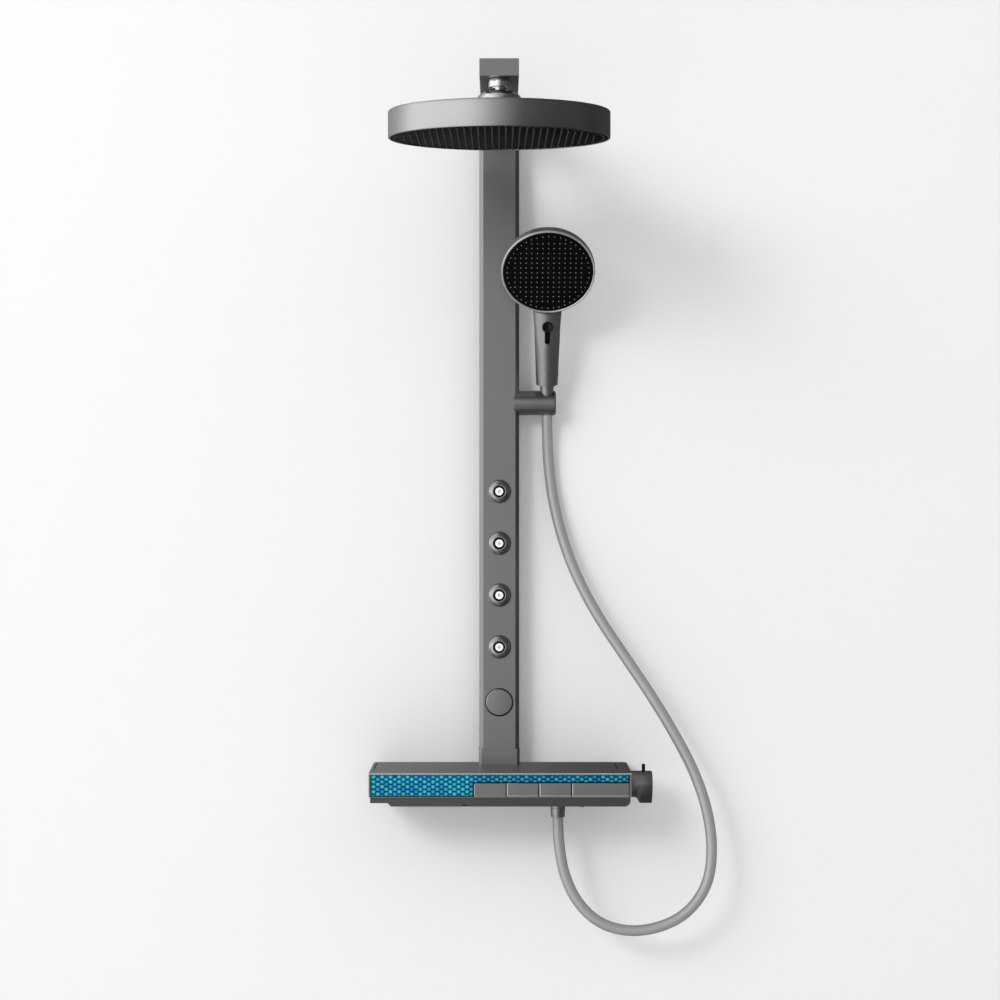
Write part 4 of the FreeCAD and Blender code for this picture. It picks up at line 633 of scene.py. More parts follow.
def jetNozzleMesh(name, seat):
    ball, tip, bore = jet["ball"], jet["tipProud"] - jet["ballProud"], jet["bore"]
    arc = [(ball * math.sin(math.radians(a)), ball * math.cos(math.radians(a))) for a in range(45, 151, 15)]
    neck = arc[0][1]
    corners = [
        (0, tip - jet["boreDepth"]), (bore, tip - jet["boreDepth"]), (bore + 0.3, tip),
        (jet["tipRadius"], tip, 0.9), (jet["tipRadius"] + 0.2, neck + 0.3), *arc,
        (0, -ball * math.cos(math.radians(30)))]
    mesh = turnedMesh(name, corners, seat, 48, closed=False)
    zone = mesh.attributes.new("zone", "FLOAT", "FACE")
    back = seat.inverted()
    for face in mesh.polygons:
        spot = back @ (face.center / mm)
        tipZone = 1.0 if math.hypot(spot.x, spot.y) < bore + 0.1 else 0.6
        zone.data[face.index].value = 0.0 if spot.z < neck + 0.4 else tipZone
    return mesh


for number, level in enumerate(jet["levels"], 1):
    turned("jetBezel%d" % number, [
        (jet["radius"], 0), (jet["radius"], 1.6, 1.2), *jet["dome"],
        (jet["mouth"] + 1.4, jet["height"], 1.0), (jet["mouth"], jet["height"], 0.4),
        (jet["cavity"], jet["cavityTop"]), (jet["cavity"], -jet["length"]),
        (jet["shank"], -jet["length"]), (jet["shank"], 0)],
        seatAt(0, jet["front"], level, 90), darkChrome, "root", "jet_bezel_%d" % number, steps=64)
    nozzleSeat = seatAt(0, jet["front"] - jet["ballProud"], level, 90)
    nozzle = objectOf("jetNozzle%d" % number, jetNozzleMesh("jetNozzle%d" % number, nozzleSeat))
    fit(nozzle, jetFinish, "jet_%d" % number, "jet_nozzle_%d" % number)
print("button and jets made")


# Geometry trees: how each one starts, ends and runs

def newTree(name, sockets):
    # a tree with a geometry output and the named inputs, and what those inputs give inside it
    tree = bpy.data.node_groups.new(name, "GeometryNodeTree")
    tree.interface.new_socket("Geometry", in_out="OUTPUT", socket_type="NodeSocketGeometry")
    for label, kind in sockets.items():
        tree.interface.new_socket(label, in_out="INPUT", socket_type="NodeSocket" + kind)
    return tree, addNode(tree, "NodeGroupInput").outputs


def endTree(tree, instances, finish):
    # the instances become one real mesh with its finish
    real = addNode(tree, "GeometryNodeRealizeInstances", {"Geometry": instances})
    painted = addNode(tree, "GeometryNodeSetMaterial", {"Geometry": real.outputs[0], "Material": finish})
    addNode(tree, "NodeGroupOutput", {"Geometry": painted.outputs[0]})
    return tree


def gridSpan(tree, count, step):
    return mathOf(tree, "MULTIPLY", mathOf(tree, "SUBTRACT", count, 1.0), step)


def grown(name, tree, inputs, seat):
    # runs a tree with its named inputs and keeps the plain mesh, in its place
    holder = objectOf(name, bpy.data.meshes.new(name))
    modifier = holder.modifiers.new("grown", "NODES")
    modifier.node_group = tree
    for item in tree.interface.items_tree:
        if item.in_out == "INPUT" and item.name in inputs:
            modifier[item.identifier] = inputs[item.name]
    settle(holder)
    holder.data.transform(Matrix.Scale(mm, 4) @ seat)
    return holder


def nozzleTree():
    # nozzles on a square grid inside a circle, with one ring round them
    tree, given = newTree("nozzleField", {
        "Pitch": "Float", "Rows": "Int", "Field Radius": "Float", "Ring Radius": "Float", "Ring Count": "Int",
        "Foot": "Float", "Tip": "Float", "Height": "Float", "Finish": "Material"})
    span = gridSpan(tree, given["Rows"], given["Pitch"])
    grid = addNode(tree, "GeometryNodeMeshGrid", {
        "Size X": span, "Size Y": span, "Vertices X": given["Rows"], "Vertices Y": given["Rows"]})
    spot = addNode(tree, "GeometryNodeInputPosition").outputs[0]
    away = addNode(tree, "ShaderNodeVectorMath", {0: spot}, operation="LENGTH").outputs["Value"]
    inside = addNode(tree, "FunctionNodeCompare", {0: away, 1: given["Field Radius"]}, operation="LESS_THAN")
    cone = addNode(tree, "GeometryNodeMeshCone", {
        "Vertices": 8, "Side Segments": 2, "Radius Top": given["Tip"], "Radius Bottom": given["Foot"],
        "Depth": given["Height"]})
    tipped = addNode(tree, "GeometryNodeStoreNamedAttribute", {
        "Geometry": cone.outputs["Mesh"], "Name": "tip", "Value": cone.outputs["Top"]},
        data_type="FLOAT", domain="FACE").outputs[0]
    field = addNode(tree, "GeometryNodeInstanceOnPoints", {
        "Points": grid.outputs["Mesh"], "Selection": inside.outputs[0], "Instance": tipped})
    circleNode = addNode(tree, "GeometryNodeMeshCircle", {
        "Vertices": given["Ring Count"], "Radius": given["Ring Radius"]})
    ring = addNode(tree, "GeometryNodeInstanceOnPoints", {
        "Points": circleNode.outputs[0], "Instance": tipped})
    both = addNode(tree, "GeometryNodeJoinGeometry")
    tree.links.new(field.outputs[0], both.inputs[0])
    tree.links.new(ring.outputs[0], both.inputs[0])
    return endTree(tree, both.outputs[0], given["Finish"])


nozzles = nozzleTree()


def nozzleField(name, inputs, seat, body):
    field = grown(name, nozzles, {**inputs, "Finish": greyNozzle}, seat)
    shadeSmooth(field.data, 40)
    fitKept(field, greyNozzle, body)


# Overhead shower: turned shell, collar, dished face and its nozzles
head = {
    "seat": seatAt(0, -394, 960, 3), "radius": 150, "top": -13, "bottom": -49.5, "wall": 2.8, "topRound": 3.0,
    "rimRound": 1.3, "inlet": 9, "faceLow": -48.3, "faceThick": 3, "faceGap": 0.3, "faceStep": 0.5,
    "collar": [
        (12.7, -13), (15.7, -13), (15.7, 3), (26.5, 1, 2), (29.5, -3, 1), (29.5, -13), (32.5, -13),
        (32.5, -4, 2.5), (31.4, 3.0, 4), (27.6, 8.4, 4), (21.8, 12.4, 3), (16.2, 14.5, 1.5),
        (14.2, 14.6, 0.5), (10.9, 8), (12.7, -3)],
    "nozzles": {
        "Pitch": 9.1, "Rows": 33, "Field Radius": 134, "Ring Radius": 141.5, "Ring Count": 92, "Foot": 1.55,
        "Tip": 0.85, "Height": 1.6}}
inner, ceiling = head["radius"] - head["wall"], head["top"] - head["wall"]
turned("headShell", [
    (head["inlet"], head["top"]), (head["radius"] - 8, head["top"]),
    (head["radius"], head["top"], head["topRound"]), (head["radius"], head["bottom"], head["rimRound"]),
    (inner, head["bottom"], 0.6), (inner, ceiling), (head["inlet"], ceiling)],
    head["seat"], turnedMetal, "head", "head_shell", steps=192)

low, edge = head["faceLow"], inner - head["faceGap"]
raised, back = low + head["faceStep"], low + head["faceThick"]
turned("headFacePlate", [
    (0, low), (edge - 9, low), (edge - 7.5, raised), (edge - 3, raised), (edge - 2, low), (edge, low, 0.4),
    (edge, back), (0, back)],
    head["seat"], blackFace, "head", "head_face_plate", steps=128, closed=False)
nozzleField("headNozzles", head["nozzles"], head["seat"] @ seatAt(0, 0, low, 180), "head")
turned("headCollar", head["collar"], head["seat"], chrome, "head", "head_collar")

# Swivel nut over the ball: plated and polished
swivel = {
    "place": (0, -394, 990.5), "radius": 14.5, "top": -0.3, "bottom": -11.9, "edge": 1.2, "mouth": 7,
    "thread": 10.5, "lip": 2}
lip = swivel["bottom"] + swivel["lip"]
turned("swivelNut", [
    (swivel["mouth"], swivel["bottom"]), (swivel["radius"], swivel["bottom"], swivel["edge"]),
    (swivel["radius"], swivel["top"], swivel["edge"]), (swivel["thread"], swivel["top"]),
    (swivel["thread"], lip), (swivel["mouth"], lip)],
    seatAt(*swivel["place"]), chrome, "root", "swivel_nut")
print("overhead shower made")


# Hand shower: a handle lofted into the back of a leaning round head, as one moulded shell
# A section is its height along the handle, width, depth and shift towards the back
shell = {
    "start": 30, "tilt": 16, "centre": (0, -20, 213.5), "radius": 69, "front": 12, "rimDepth": 2.5,
    "rear": 14, "well": 66.2, "floor": 7, "voxel": 1.7, "soften": 14, "skirt": 12.5, "skirtTop": 43,
    "sections": [
        (22, 32.4, 30.2, 0), (30, 33.2, 30.4, 0), (60, 35.2, 31.0, 0), (95, 37.8, 31, 0),
        (120, 39.8, 26.6, -1.2), (140, 43, 22.6, -2.2), (150, 47, 20.2, -0.6), (160, 54, 17.4, 1.6),
        (176, 66, 13.5, 5.2), (192, 74, 11, 8.5)],
    "rim": [(66.2, 9.5), (69, 9.5), (69, 12, 1.2), (67.2, 12.2, 0.5), (66.2, 11.6, 0.3)],
    "face": [(0, 11.9), (40, 11.8), (63, 11.3, 1), (65.9, 10.8, 0.5), (65.9, 8.2), (0, 8.2)],
    "nozzleLevel": 11.4,
    "nozzles": {
        "Pitch": 8.1, "Rows": 17, "Field Radius": 55.5, "Ring Radius": 60.3, "Ring Count": 44, "Foot": 1.35,
        "Tip": 0.8, "Height": 1.2}}
slide = {
    "height": 122, "front": -11.66, "lean": -8.094, "run": 22, "half": 4, "sink": 4.5, "track": 1.5,
    "radius": 8.3, "thick": 2.6, "gap": 0.3}
discSeat = handsetSeat @ seatAt(*shell["centre"], 90 + shell["tilt"])
localDisc = handsetSeat.inverted() @ discSeat
localSlide = seatAt(0, slide["front"], slide["height"], slide["lean"])
slideSeat = handsetSeat @ localSlide


def curved(a, b, c, d, t):
    # a smooth curve from b to c, with a before them and d after them
    return 0.5 * (
        2 * b + (c - a) * t + (2 * a - 5 * b + 4 * c - d) * t * t + (3 * b - a - 3 * c + d) * t ** 3)


def loftedHandle(sides=48, between=6):
    # elliptical sections at the given heights, joined by smooth curves between them
    shape = bmesh.new()
    rows = [shell["sections"][0], *shell["sections"], shell["sections"][-1]]
    fine = [
        [curved(*numbers, step / between) for numbers in zip(*four)]
        for four in zip(rows, rows[1:], rows[2:], rows[3:]) for step in range(between)]
    rings = [
        [shape.verts.new((width / 2 * c, -shift + deep / 2 * s, high)) for c, s in circle(sides)]
        for high, width, deep, shift in fine + [rows[-1]]]
    for low, high in zip(rings, rings[1:]):
        bridge(shape, low, high)
    shape.faces.new(rings[0])
    shape.faces.new(rings[-1])
    return finishMesh(shape, "handleLoft")


def shellSkin():
    # joins handle and round head into one skin and softens the join
    cup = turnedMesh("cup", [
        (0, -shell["rear"]), (44, -shell["rear"], 10), (60, -10.5, 6), (shell["radius"], -2.5, 5),
        (shell["radius"], shell["front"] + 6), (0, shell["front"] + 6)], localDisc, 128, closed=False)
    piece = objectOf("handsetShell", meshOf(shapeOf(cup, loftedHandle()), "shell"))
    remesh = piece.modifiers.new("skin", "REMESH")
    remesh.mode = "VOXEL"
    remesh.voxel_size = shell["voxel"] * mm
    soften = piece.modifiers.new("soften", "SMOOTH")
    soften.factor = 0.5
    soften.iterations = shell["soften"]
    return settle(piece)


def opened(shape, seat, reach, inner, depth):
    # cuts the shell flat across the seat's plane, no wider than the reach, and sinks a socket into the cut
    back = seat.inverted()
    near = set()
    for vertex in shape.verts:
        local = back @ (vertex.co / mm)
        if math.hypot(local.x, local.y) < reach and local.z > -reach / 8:
            near.add(vertex)
    around = [item for item in (*shape.edges, *shape.faces) if near.issuperset(item.verts)]
    cut = bmesh.ops.bisect_plane(
        shape, geom=list(near) + around, plane_co=seat.translation * mm,
        plane_no=(seat.to_3x3() @ Vector((0, 0, 1))).normalized(), clear_outer=True)
    loop = [item for item in cut["geom_cut"] if isinstance(item, bmesh.types.BMEdge)]
    for radius, drop in ((inner, 0), (inner, depth)):
        grownEdges = bmesh.ops.extrude_edge_only(shape, edges=loop)["geom"]
        loop = [item for item in grownEdges if isinstance(item, bmesh.types.BMEdge)]
        for vertex in {vertex for edge in loop for vertex in edge.verts}:
            local = back @ (vertex.co / mm)
            away = math.hypot(local.x, local.y)
            local.x, local.y, local.z = local.x * radius / away, local.y * radius / away, local.z - drop
            vertex.co = (seat @ local) * mm
    bmesh.ops.edgeloop_fill(shape, edges=loop)


def slotMesh(half, front, back):
    # a prism with a round-ended outline that runs down from the slide's top position
    outline = [(half * math.cos(math.pi * k / 14), half * math.sin(math.pi * k / 14)) for k in range(15)]
    outline += [(-x, -slide["run"] - z) for x, z in outline]
    shape = bmesh.new()
    rows = [[shape.verts.new((x, depth, z)) for x, z in outline] for depth in (front, back)]
    bridge(shape, *rows)
    shape.faces.new(rows[0])
    shape.faces.new(rows[1])
    return shape


shellPiece = shellSkin()
shape = shapeOf(shellPiece.data)
rimLevel = shell["front"] - shell["rimDepth"]
rimSeat = localDisc @ seatAt(0, 0, rimLevel)
opened(shape, rimSeat, shell["radius"] + 0.3, shell["well"], rimLevel - shell["floor"])
footSeat = seatAt(0, 0, shell["start"], 180)
opened(shape, footSeat, shell["radius"], shell["skirt"], shell["skirtTop"] - shell["start"])
bmesh.ops.recalc_face_normals(shape, faces=shape.faces)
shape.to_mesh(shellPiece.data)
shape.free()
slotCut = slotMesh(slide["half"], -12, slide["sink"])
slotCut.transform(localSlide)
cutter = objectOf("slotCutter", finishMesh(slotCut, "slotCutter"))
notch = shellPiece.modifiers.new("slot", "BOOLEAN")
notch.object = cutter
notch.solver = "EXACT"
settle(shellPiece)
bpy.data.objects.remove(cutter)
shellPiece.data.transform(Matrix.Scale(mm, 4) @ handsetSeat @ Matrix.Scale(1 / mm, 4))
shadeSmooth(shellPiece.data, 40)
fit(shellPiece, shellPlastic, "handset", "handset_body")
print("hand shower shell:", len(shellPiece.data.polygons), "faces")

track = slotMesh(slide["half"] - 0.1, slide["sink"] - slide["track"], slide["sink"])
track.transform(slideSeat)
fit(objectOf("slotTrack", finishMesh(track, "slotTrack")), blackFace, "handset", "handset_slot_plate")
low, top, wide = slide["gap"], slide["gap"] + slide["thick"], slide["radius"]
turned("thumbSlide", [
    (0, top - 1.3), (3.2, top - 1.1, 1.5), (5.6, top - 0.3, 1.0), (6.6, top, 0.6), (wide, top - 0.5, 0.7),
    (wide, low), (3.5, low), (3.5, low - 3), (0, low - 3)],
    slideSeat @ seatAt(0, 0, 0, 90), glossBlack, "thumb", "handset_thumb_slide", steps=64, closed=False)
turned("handsetRim", shell["rim"], discSeat, rimPlastic, "handset", "handset_rim", steps=160)
turned(
    "handsetFacePlate", shell["face"], discSeat, blackFace, "handset", "handset_face_plate",
    steps=128, closed=False)
nozzleField("handsetNozzles", shell["nozzles"], discSeat @ seatAt(0, 0, shell["nozzleLevel"]), "handset")
print("hand shower made")


# Light panel: scales laid in offset rows over the panel, cut to its L shape
# A box is its left, right, low and high sides, the corner its centre and radius
scales = {
    "cell": 12.4, "row": 3.6, "columns": 32, "rows": 10, "length": 7.6, "height": 6.8, "dome": 0.7, "seed": 7,
    "sides": 12, "centre": (-3.5, 6.9), "front": -152.2, "field": (-187.2, -38.8, -8.0, 21.6),
    "strip": (-38.8, 187.9, 12.2, 21.6), "corner": (-42.8, -3.7, 4.4), "cornerCuts": (-22, -45, -68),
    "crowns": ((1.0, 0.0, 0.0), (0.55, 0.8, 0.6))}


def cellMesh():
    # one scale: an oval with a low crown, and how near each point is to the crown
    shape = bmesh.new()
    crownLayer = shape.verts.layers.float.new("crown")
    wide, tall, dome = scales["length"] / 2, scales["height"] / 2, scales["dome"]
    rows = []
    for share, high, crown in scales["crowns"]:
        rows.append([
            shape.verts.new((c * share * wide, s * share * tall, high * dome))
            for c, s in circle(scales["sides"])])
        for vertex in rows[-1]:
            vertex[crownLayer] = crown
    rows.append([shape.verts.new((0, 0, dome))])
    rows[-1][0][crownLayer] = 1.0
    for low, high in zip(rows, rows[1:]):
        bridge(shape, low, high)
    return meshOf(shape, "scaleCell")


def scaleTree():
    # copies of a cell on a grid whose every other row is shifted by half a cell
    tree, given = newTree("offsetScales", {
        "Cell Width": "Float", "Row Height": "Float", "Columns": "Int", "Rows": "Int", "Cell": "Object",
        "Seed": "Int", "Finish": "Material"})
    grid = addNode(tree, "GeometryNodeMeshGrid", {
        "Size X": gridSpan(tree, given["Columns"], given["Cell Width"]),
        "Size Y": gridSpan(tree, given["Rows"], given["Row Height"]),
        "Vertices X": given["Columns"], "Vertices Y": given["Rows"]})
    spot = addNode(tree, "ShaderNodeSeparateXYZ", {0: addNode(tree, "GeometryNodeInputPosition").outputs[0]})
    rowNumber = mathOf(tree, "DIVIDE", spot.outputs["Y"], given["Row Height"])
    # the grid's middle lies between two rows, and the sum before rounding keeps the numbers positive
    odd = mathOf(tree, "MODULO", mathOf(tree, "ROUND", mathOf(tree, "ADD", rowNumber, 100.5)), 2.0)
    shift = mathOf(tree, "MULTIPLY", odd, mathOf(tree, "MULTIPLY", given["Cell Width"], 0.5))
    offset = addNode(tree, "ShaderNodeCombineXYZ", {"X": shift}).outputs[0]
    moved = addNode(tree, "GeometryNodeSetPosition", {"Geometry": grid.outputs["Mesh"], "Offset": offset})
    cell = addNode(tree, "GeometryNodeObjectInfo", {"Object": given["Cell"]})
    laid = addNode(tree, "GeometryNodeInstanceOnPoints", {
        "Points": moved.outputs[0], "Instance": cell.outputs["Geometry"]})
    chance = addNode(tree, "FunctionNodeRandomValue", {"Seed": given["Seed"]}, data_type="FLOAT")
    named = addNode(tree, "GeometryNodeStoreNamedAttribute", {
        "Geometry": laid.outputs[0], "Name": "tone", "Value": chance.outputs["Value"]},
        data_type="FLOAT", domain="INSTANCE")
    return endTree(tree, named.outputs[0], given["Finish"])


def trimmed(mesh, box, corners):
    # keeps what lies inside a box, with slanting cuts at its rounded corner
    shape = shapeOf(mesh)
    left, right, low, high = [side * mm for side in box]
    cuts = [
        ((left, 0, 0), (-1, 0, 0)), ((right, 0, 0), (1, 0, 0)), ((0, 0, low), (0, 0, -1)),
        ((0, 0, high), (0, 0, 1))]
    for spot, normal in cuts + corners:
        bmesh.ops.bisect_plane(
            shape, geom=shape.verts[:] + shape.edges[:] + shape.faces[:], plane_co=spot, plane_no=normal,
            clear_outer=True, dist=1e-6)
    return meshOf(shape, "portion")


cell = objectOf("scaleCell", cellMesh())
scaleSheet = grown("litScales", scaleTree(), {
    "Cell Width": scales["cell"], "Row Height": scales["row"], "Columns": scales["columns"],
    "Rows": scales["rows"], "Cell": cell, "Seed": scales["seed"], "Finish": litScales},
    seatAt(scales["centre"][0], scales["front"], scales["centre"][1], 90))
bpy.data.objects.remove(cell)
cornerX, cornerZ, reach = scales["corner"]
cornerCuts = []
for turn in scales["cornerCuts"]:
    c, s = math.cos(math.radians(turn)), math.sin(math.radians(turn))
    cornerCuts.append((((cornerX + reach * c) * mm, 0, (cornerZ + reach * s) * mm), (c, 0, s)))
whole = shapeOf(
    trimmed(scaleSheet.data, scales["field"], cornerCuts), trimmed(scaleSheet.data, scales["strip"], []))
whole.to_mesh(scaleSheet.data)
whole.free()
shadeSmooth(scaleSheet.data, 60)
fitKept(scaleSheet, litScales, "root")
cleanCopy("light_panel", "lightPanel", panelBlue)
print("light panel made:", len(scaleSheet.data.polygons), "faces")


# Knob: a turned neck and a body whose finger lug hangs below it
# A flare step is its place along the axis and how far the lug reaches there
knob = {
    "start": 194.6, "end": 227.4, "radius": 19.5, "edge": 1.2, "drop": 28.5, "axis": -80, "bore": 16.9,
    "boreDepth": 3.4, "flare": [(203, 19.7), (205.2, 21.5), (207, 24.9), (208.6, 27.7), (210.5, 28.5)],
    "pinch": 0.28, "sides": 64}


def knobOutline(drop, grow):
    # the section across the knob's axis: a circle whose lower half draws down into the lug
    points = []
    for y, z in circle(knob["sides"], knob["radius"] + grow):
        if z < 0 and drop > knob["radius"]:
            share = min(1.0, -z / knob["radius"])
            z -= (drop - knob["radius"]) * share ** 1.5
            y *= 1 - knob["pinch"] * share ** 1.2 * (abs(y) / knob["radius"] > 0.02)
        points.append((y, z))
    return points


def knobMesh():
    shape = bmesh.new()
    start, end, radius, edge, drop = [knob[key] for key in ("start", "end", "radius", "edge", "drop")]
    stations = [
        (start, radius, -edge), (start + 0.4, radius, -0.3), (start + edge, radius, 0),
        *[(place, reach, 0) for place, reach in knob["flare"]],
        (end - edge, drop, 0), (end - 0.35, drop - 0.3, -0.35), (end, drop - edge, -edge)]
    rings = [[shape.verts.new((x, y, z)) for y, z in knobOutline(reach, grow)] for x, reach, grow in stations]
    for low, high in zip(rings, rings[1:]):
        bridge(shape, low, high)
    shape.faces.new(rings[-1])
    mouth = [shape.verts.new((start, y, z)) for y, z in circle(knob["sides"], knob["bore"])]
    deep = [shape.verts.new((start + knob["boreDepth"], vertex.co.y, vertex.co.z)) for vertex in mouth]
    bridge(shape, rings[0], mouth)
    bridge(shape, mouth, deep)
    shape.faces.new(deep)
    shape.transform(Matrix.Translation((0, knob["axis"], 0)))
    return finishMesh(shape, "temperatureKnob", 40)


pin = {
    "along": 214.9,
    "profile": [
        (0, 29.9), (2.6, 29.9, 0.7), (2.6, 22.6, 0.3), (2.1, 22.0), (2.6, 21.4), (2.6, 12.3), (0, 12.3)]}
fit(objectOf("temperatureKnob", knobMesh()), gunmetal, "knob", "knob")
pinSeat = seatAt(pin["along"], knob["axis"], 0)
turned("knobPin", pin["profile"], pinSeat, glossBlack, "knob_pin", "knob_pin", steps=32, closed=False)


# Cover screw with a crossed recess
screw = {
    "place": (120.4, -142.6, -25.5), "radius": 4.2, "flat": 3.6, "chamfer": 0.5, "thick": 1.5, "recess": 0.8,
    "arm": 0.55, "cross": 2.3}


def screwMesh():
    shape = bmesh.new()
    arm, cross, flat, wider = screw["arm"], screw["cross"], screw["flat"], screw["radius"] / screw["flat"]
    outline = [
        Matrix.Rotation(math.pi / 2 * k, 2) @ Vector(spot)
        for k in range(4) for spot in ((cross, -arm), (cross, arm), (arm, arm))]
    deep, flush = [[shape.verts.new((p.x, p.y, level)) for p in outline] for level in (screw["recess"], 0)]
    turns = [math.atan2(p.y, p.x) for p in outline]
    edge = [shape.verts.new((flat * math.cos(turn), flat * math.sin(turn), 0)) for turn in turns]
    side, base = [
        [shape.verts.new((wider * v.co.x, wider * v.co.y, level)) for v in edge]
        for level in (screw["chamfer"], screw["thick"])]
    for low, high in ((deep, flush), (flush, edge), (edge, side), (side, base)):
        bridge(shape, low, high)
    shape.faces.new(deep)
    shape.faces.new(base)
    shape.transform(Matrix.Translation(screw["place"]))
    return finishMesh(shape, "coverScrew", 30)


fit(objectOf("coverScrew", screwMesh()), springSteel, "root", "cover_screw")


# Springs: round wire wound between two closed ends
springs = {
    "key": {"radius": 6.4, "wire": 0.6, "turns": 5, "travel": 3.0},
    "button": {"radius": 6.0, "wire": 0.5, "turns": 3, "travel": 2.5}}
coiling = {"margin": 0.3, "stepsPerTurn": 22, "sides": 8}


def coilMesh(name, x, z, start, end, spring):
    steps = spring["turns"] * coiling["stepsPerTurn"]
    length = end - start - 2 * spring["wire"]
    line = []
    for k in range(steps + 1):
        angle = tau * spring["turns"] * (k / steps)
        line.append(mm * Vector((
            x + spring["radius"] * math.cos(angle), start + spring["wire"] + length * (k / steps),
            z + spring["radius"] * math.sin(angle))))
    return tubeMesh(name, line, spring["wire"] * mm, coiling["sides"])[0]


coils = [("keySpring%d" % n, "key_spring_%d" % n, "key_%d_press" % n, "key") for n in (1, 2, 3)]
for name, node, joint, kind in coils + [("buttonSpring", "button_spring", "round_button_press", "button")]:
    low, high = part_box(node)
    start, end = low.y / mm + coiling["margin"], high.y / mm
    x, z = (low.x + high.x) / 2 / mm, (low.z + high.z) / 2 / mm
    coil = objectOf(name, coilMesh(name, x, z, start, end, springs[kind]))
    fit(coil, springSteel, "root", node)
    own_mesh(coil)


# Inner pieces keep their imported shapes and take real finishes
innerFinishes = {
    castBrass: ("outlet_nipple", "valve_body", "hose_outlet"), chrome: ("ball_stem", "thermostat_cartridge"),
    copper: ("riser_pipe", "arm_pipe"), castZinc: ("top_block",), matSilicone: ("head_nozzle_mat",),
    nylon: (
        "ball_seat_ring", "jet_manifold", "button_valve", "key_cartridge_1", "key_cartridge_2",
        "key_cartridge_3"),
    circuitBoard: ("light_board",)}
for material, nodes in innerFinishes.items():
    for node in nodes:
        for place in frame["nodes"][node].material_slots:
            place.material = material
cleanCopy("inlet_unions", "inletUnions", chrome)
print("inner pieces finished")


# Wall: painted plaster behind the shower, curving out into a pale floor far below it
studio = {
    "wall": "#ebeceb", "left": -5.0, "right": 5.0, "top": 4.0, "floor": -1.05, "cove": 0.5, "coveSteps": 12,
    "reach": -6.0, "behind": 0.0012,
    "keyPower": 74, "keyPlace": (-2.7, -5.3, 2.6), "keySize": 1.6,
    "fillPower": 112, "fillPlace": (-4.4, -5.4, 3.4), "fillSize": 3.3, "aim": (0, -0.05, 0.42),
    "sky": "#f4f5f4", "softLight": 0.78}


def wallMesh():
    shape = bmesh.new()
    behind, floor, cove = studio["behind"], studio["floor"], studio["cove"]
    profile = [(behind, studio["top"]), (behind, floor + cove)]
    for k in range(1, studio["coveSteps"] + 1):
        a = math.pi / 2 * k / studio["coveSteps"]
        profile.append((behind - cove * (1 - math.cos(a)), floor + cove * (1 - math.sin(a))))
    profile.append((studio["reach"], floor))
    rows = [[shape.verts.new((x, y, z)) for y, z in profile] for x in (studio["left"], studio["right"])]
    for k in range(len(profile) - 1):
        shape.faces.new((rows[0][k], rows[0][k + 1], rows[1][k + 1], rows[1][k]))
    mesh = meshOf(shape, "wall")
    if mesh.polygons[0].normal.y > 0:
        mesh.flip_normals()
    mesh.shade_smooth()
    return mesh


def toneRamp(tree, source, low, high, stops):
    # a grey that follows a number through the given (number, grey) stops
    shares = [((spot - low) / (high - low), (grey, grey, grey, 1)) for spot, grey in stops]
    return rampOf(tree, rangeOf(tree, source, low, high), shares)


# Matt paint that shows metal a studio darkening to the right, and is seen through from behind
wall = objectOf("wall", wallMesh())
wallPaint = bpy.data.materials.new("mattEmulsion")
wallPaint.use_nodes = True
tree = wallPaint.node_tree
shader = tree.nodes["Principled BSDF"]
shader.inputs["Base Color"].default_value = linearColour(studio["wall"])
shader.inputs["Roughness"].default_value = 0.9
shader.inputs["Specular IOR Level"].default_value = 0.1
across = addNode(tree, "ShaderNodeSeparateXYZ", {0: addNode(tree, "ShaderNodeTexCoord").outputs["Object"]})
upright = toneRamp(tree, across.outputs["X"], -2, 2, [
    (-2, 1.4), (-1, 0.9), (-0.35, 0.42), (-0.1, 0.28), (0.1, 0.13), (0.3, 0.06), (2, 0.05)])
level = toneRamp(tree, across.outputs["X"], -2, 2, [
    (-1.6, 1.15), (-0.8, 0.75), (0, 0.24), (0.8, 0.07), (2, 0.05)])
down = rangeOf(tree, across.outputs["Z"], -0.9, -0.2, 0.12, 1.0)
forward = rangeOf(tree, across.outputs["Y"], -0.4, -1.0)
tone = mixOf(tree, forward, mixOf(tree, 1.0, upright, down, "MULTIPLY"), level)
mirrorTone = addNode(tree, "ShaderNodeEmission", {"Color": tone})
ray = addNode(tree, "ShaderNodeLightPath")
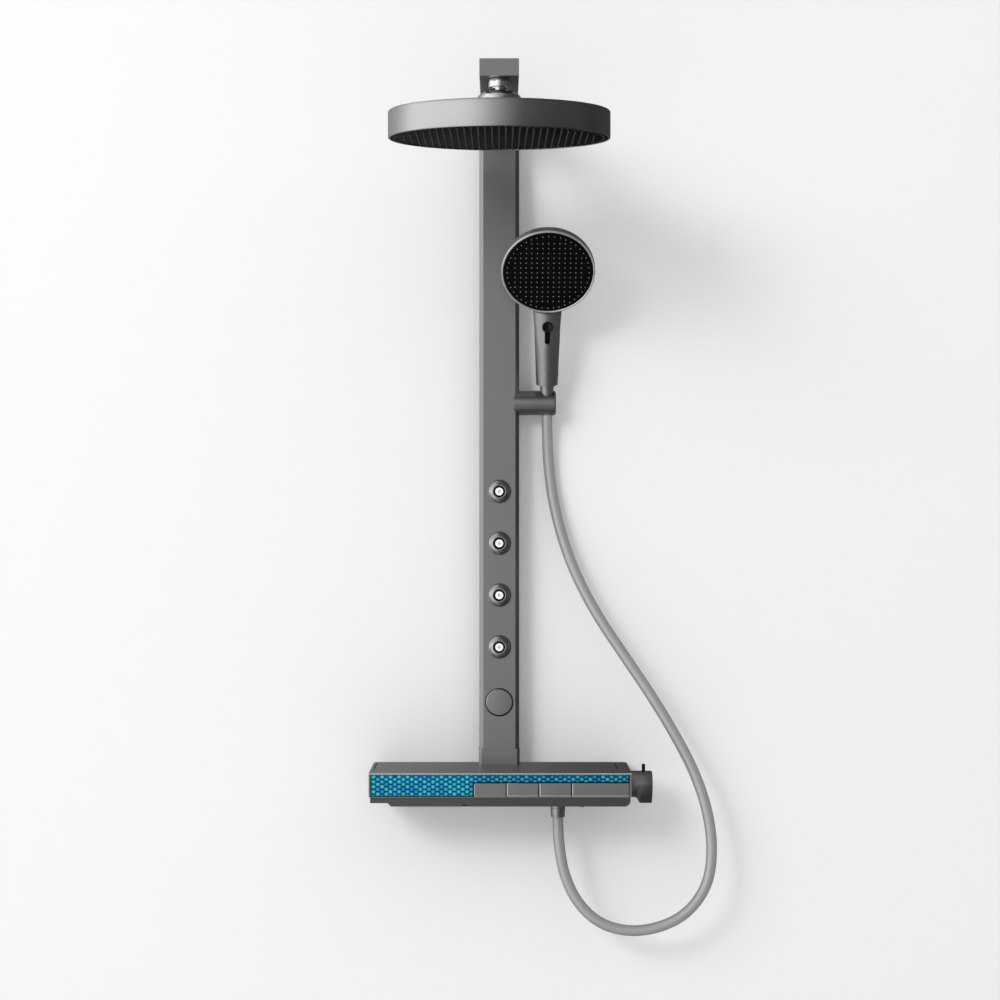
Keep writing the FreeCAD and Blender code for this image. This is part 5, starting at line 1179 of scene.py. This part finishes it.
painted = addNode(tree, "ShaderNodeMixShader", {
    0: ray.outputs["Is Glossy Ray"], 1: shader.outputs[0], 2: mirrorTone.outputs[0]})
seen = addNode(tree, "ShaderNodeNewGeometry")
clear = addNode(tree, "ShaderNodeBsdfTransparent")
oneSided = addNode(tree, "ShaderNodeMixShader", {
    0: seen.outputs["Backfacing"], 1: painted.outputs[0], 2: clear.outputs[0]})
tree.links.new(oneSided.outputs[0], tree.nodes["Material Output"].inputs["Surface"])
wall.data.materials.append(wallPaint)


# Light: a soft key from the upper left, a larger fill beside it, and a studio that darkens to the right
def softLamp(kind):
    lamp = bpy.data.lights.new(kind + "Lamp", "AREA")
    lamp.shape = "DISK"
    lamp.size = studio[kind + "Size"]
    lamp.energy = studio[kind + "Power"]
    holder = objectOf(kind + "Lamp", lamp)
    holder.location = studio[kind + "Place"]
    ahead = Vector(studio["aim"]) - Vector(studio[kind + "Place"])
    holder.rotation_euler = ahead.to_track_quat("-Z", "Y").to_euler()
    holder.visible_camera = False
    holder.visible_glossy = False


softLamp("key")
softLamp("fill")

world = bpy.data.worlds.new("studio")
scene.world = world
world.use_nodes = True
tree = world.node_tree
background = tree.nodes["Background"]
way = addNode(tree, "ShaderNodeSeparateXYZ", {0: addNode(tree, "ShaderNodeTexCoord").outputs["Generated"]})
sideways = toneRamp(tree, way.outputs["X"], -1, 1, [
    (-1, 1.5), (-0.5, 1.4), (0, 0.5), (0.35, 0.12), (1, 0.08)])
upward = toneRamp(tree, way.outputs["Z"], -1, 1, [
    (-1, 0.06), (-0.46, 0.4), (-0.2, 0.7), (-0.1, 0.86), (0, 1.0), (0.25, 0.97), (0.45, 0.7), (0.7, 0.62),
    (1, 0.75)])
rays = addNode(tree, "ShaderNodeLightPath")
softLight = (studio["softLight"],) * 3 + (1,)
mirrored = mixOf(
    tree, rays.outputs["Is Glossy Ray"], softLight, mixOf(tree, 1.0, sideways, upward, "MULTIPLY"))
shown = mixOf(tree, rays.outputs["Is Camera Ray"], mirrored, linearColour(studio["sky"]))
tree.links.new(shown, background.inputs["Color"])
print("wall, lamps and studio made")
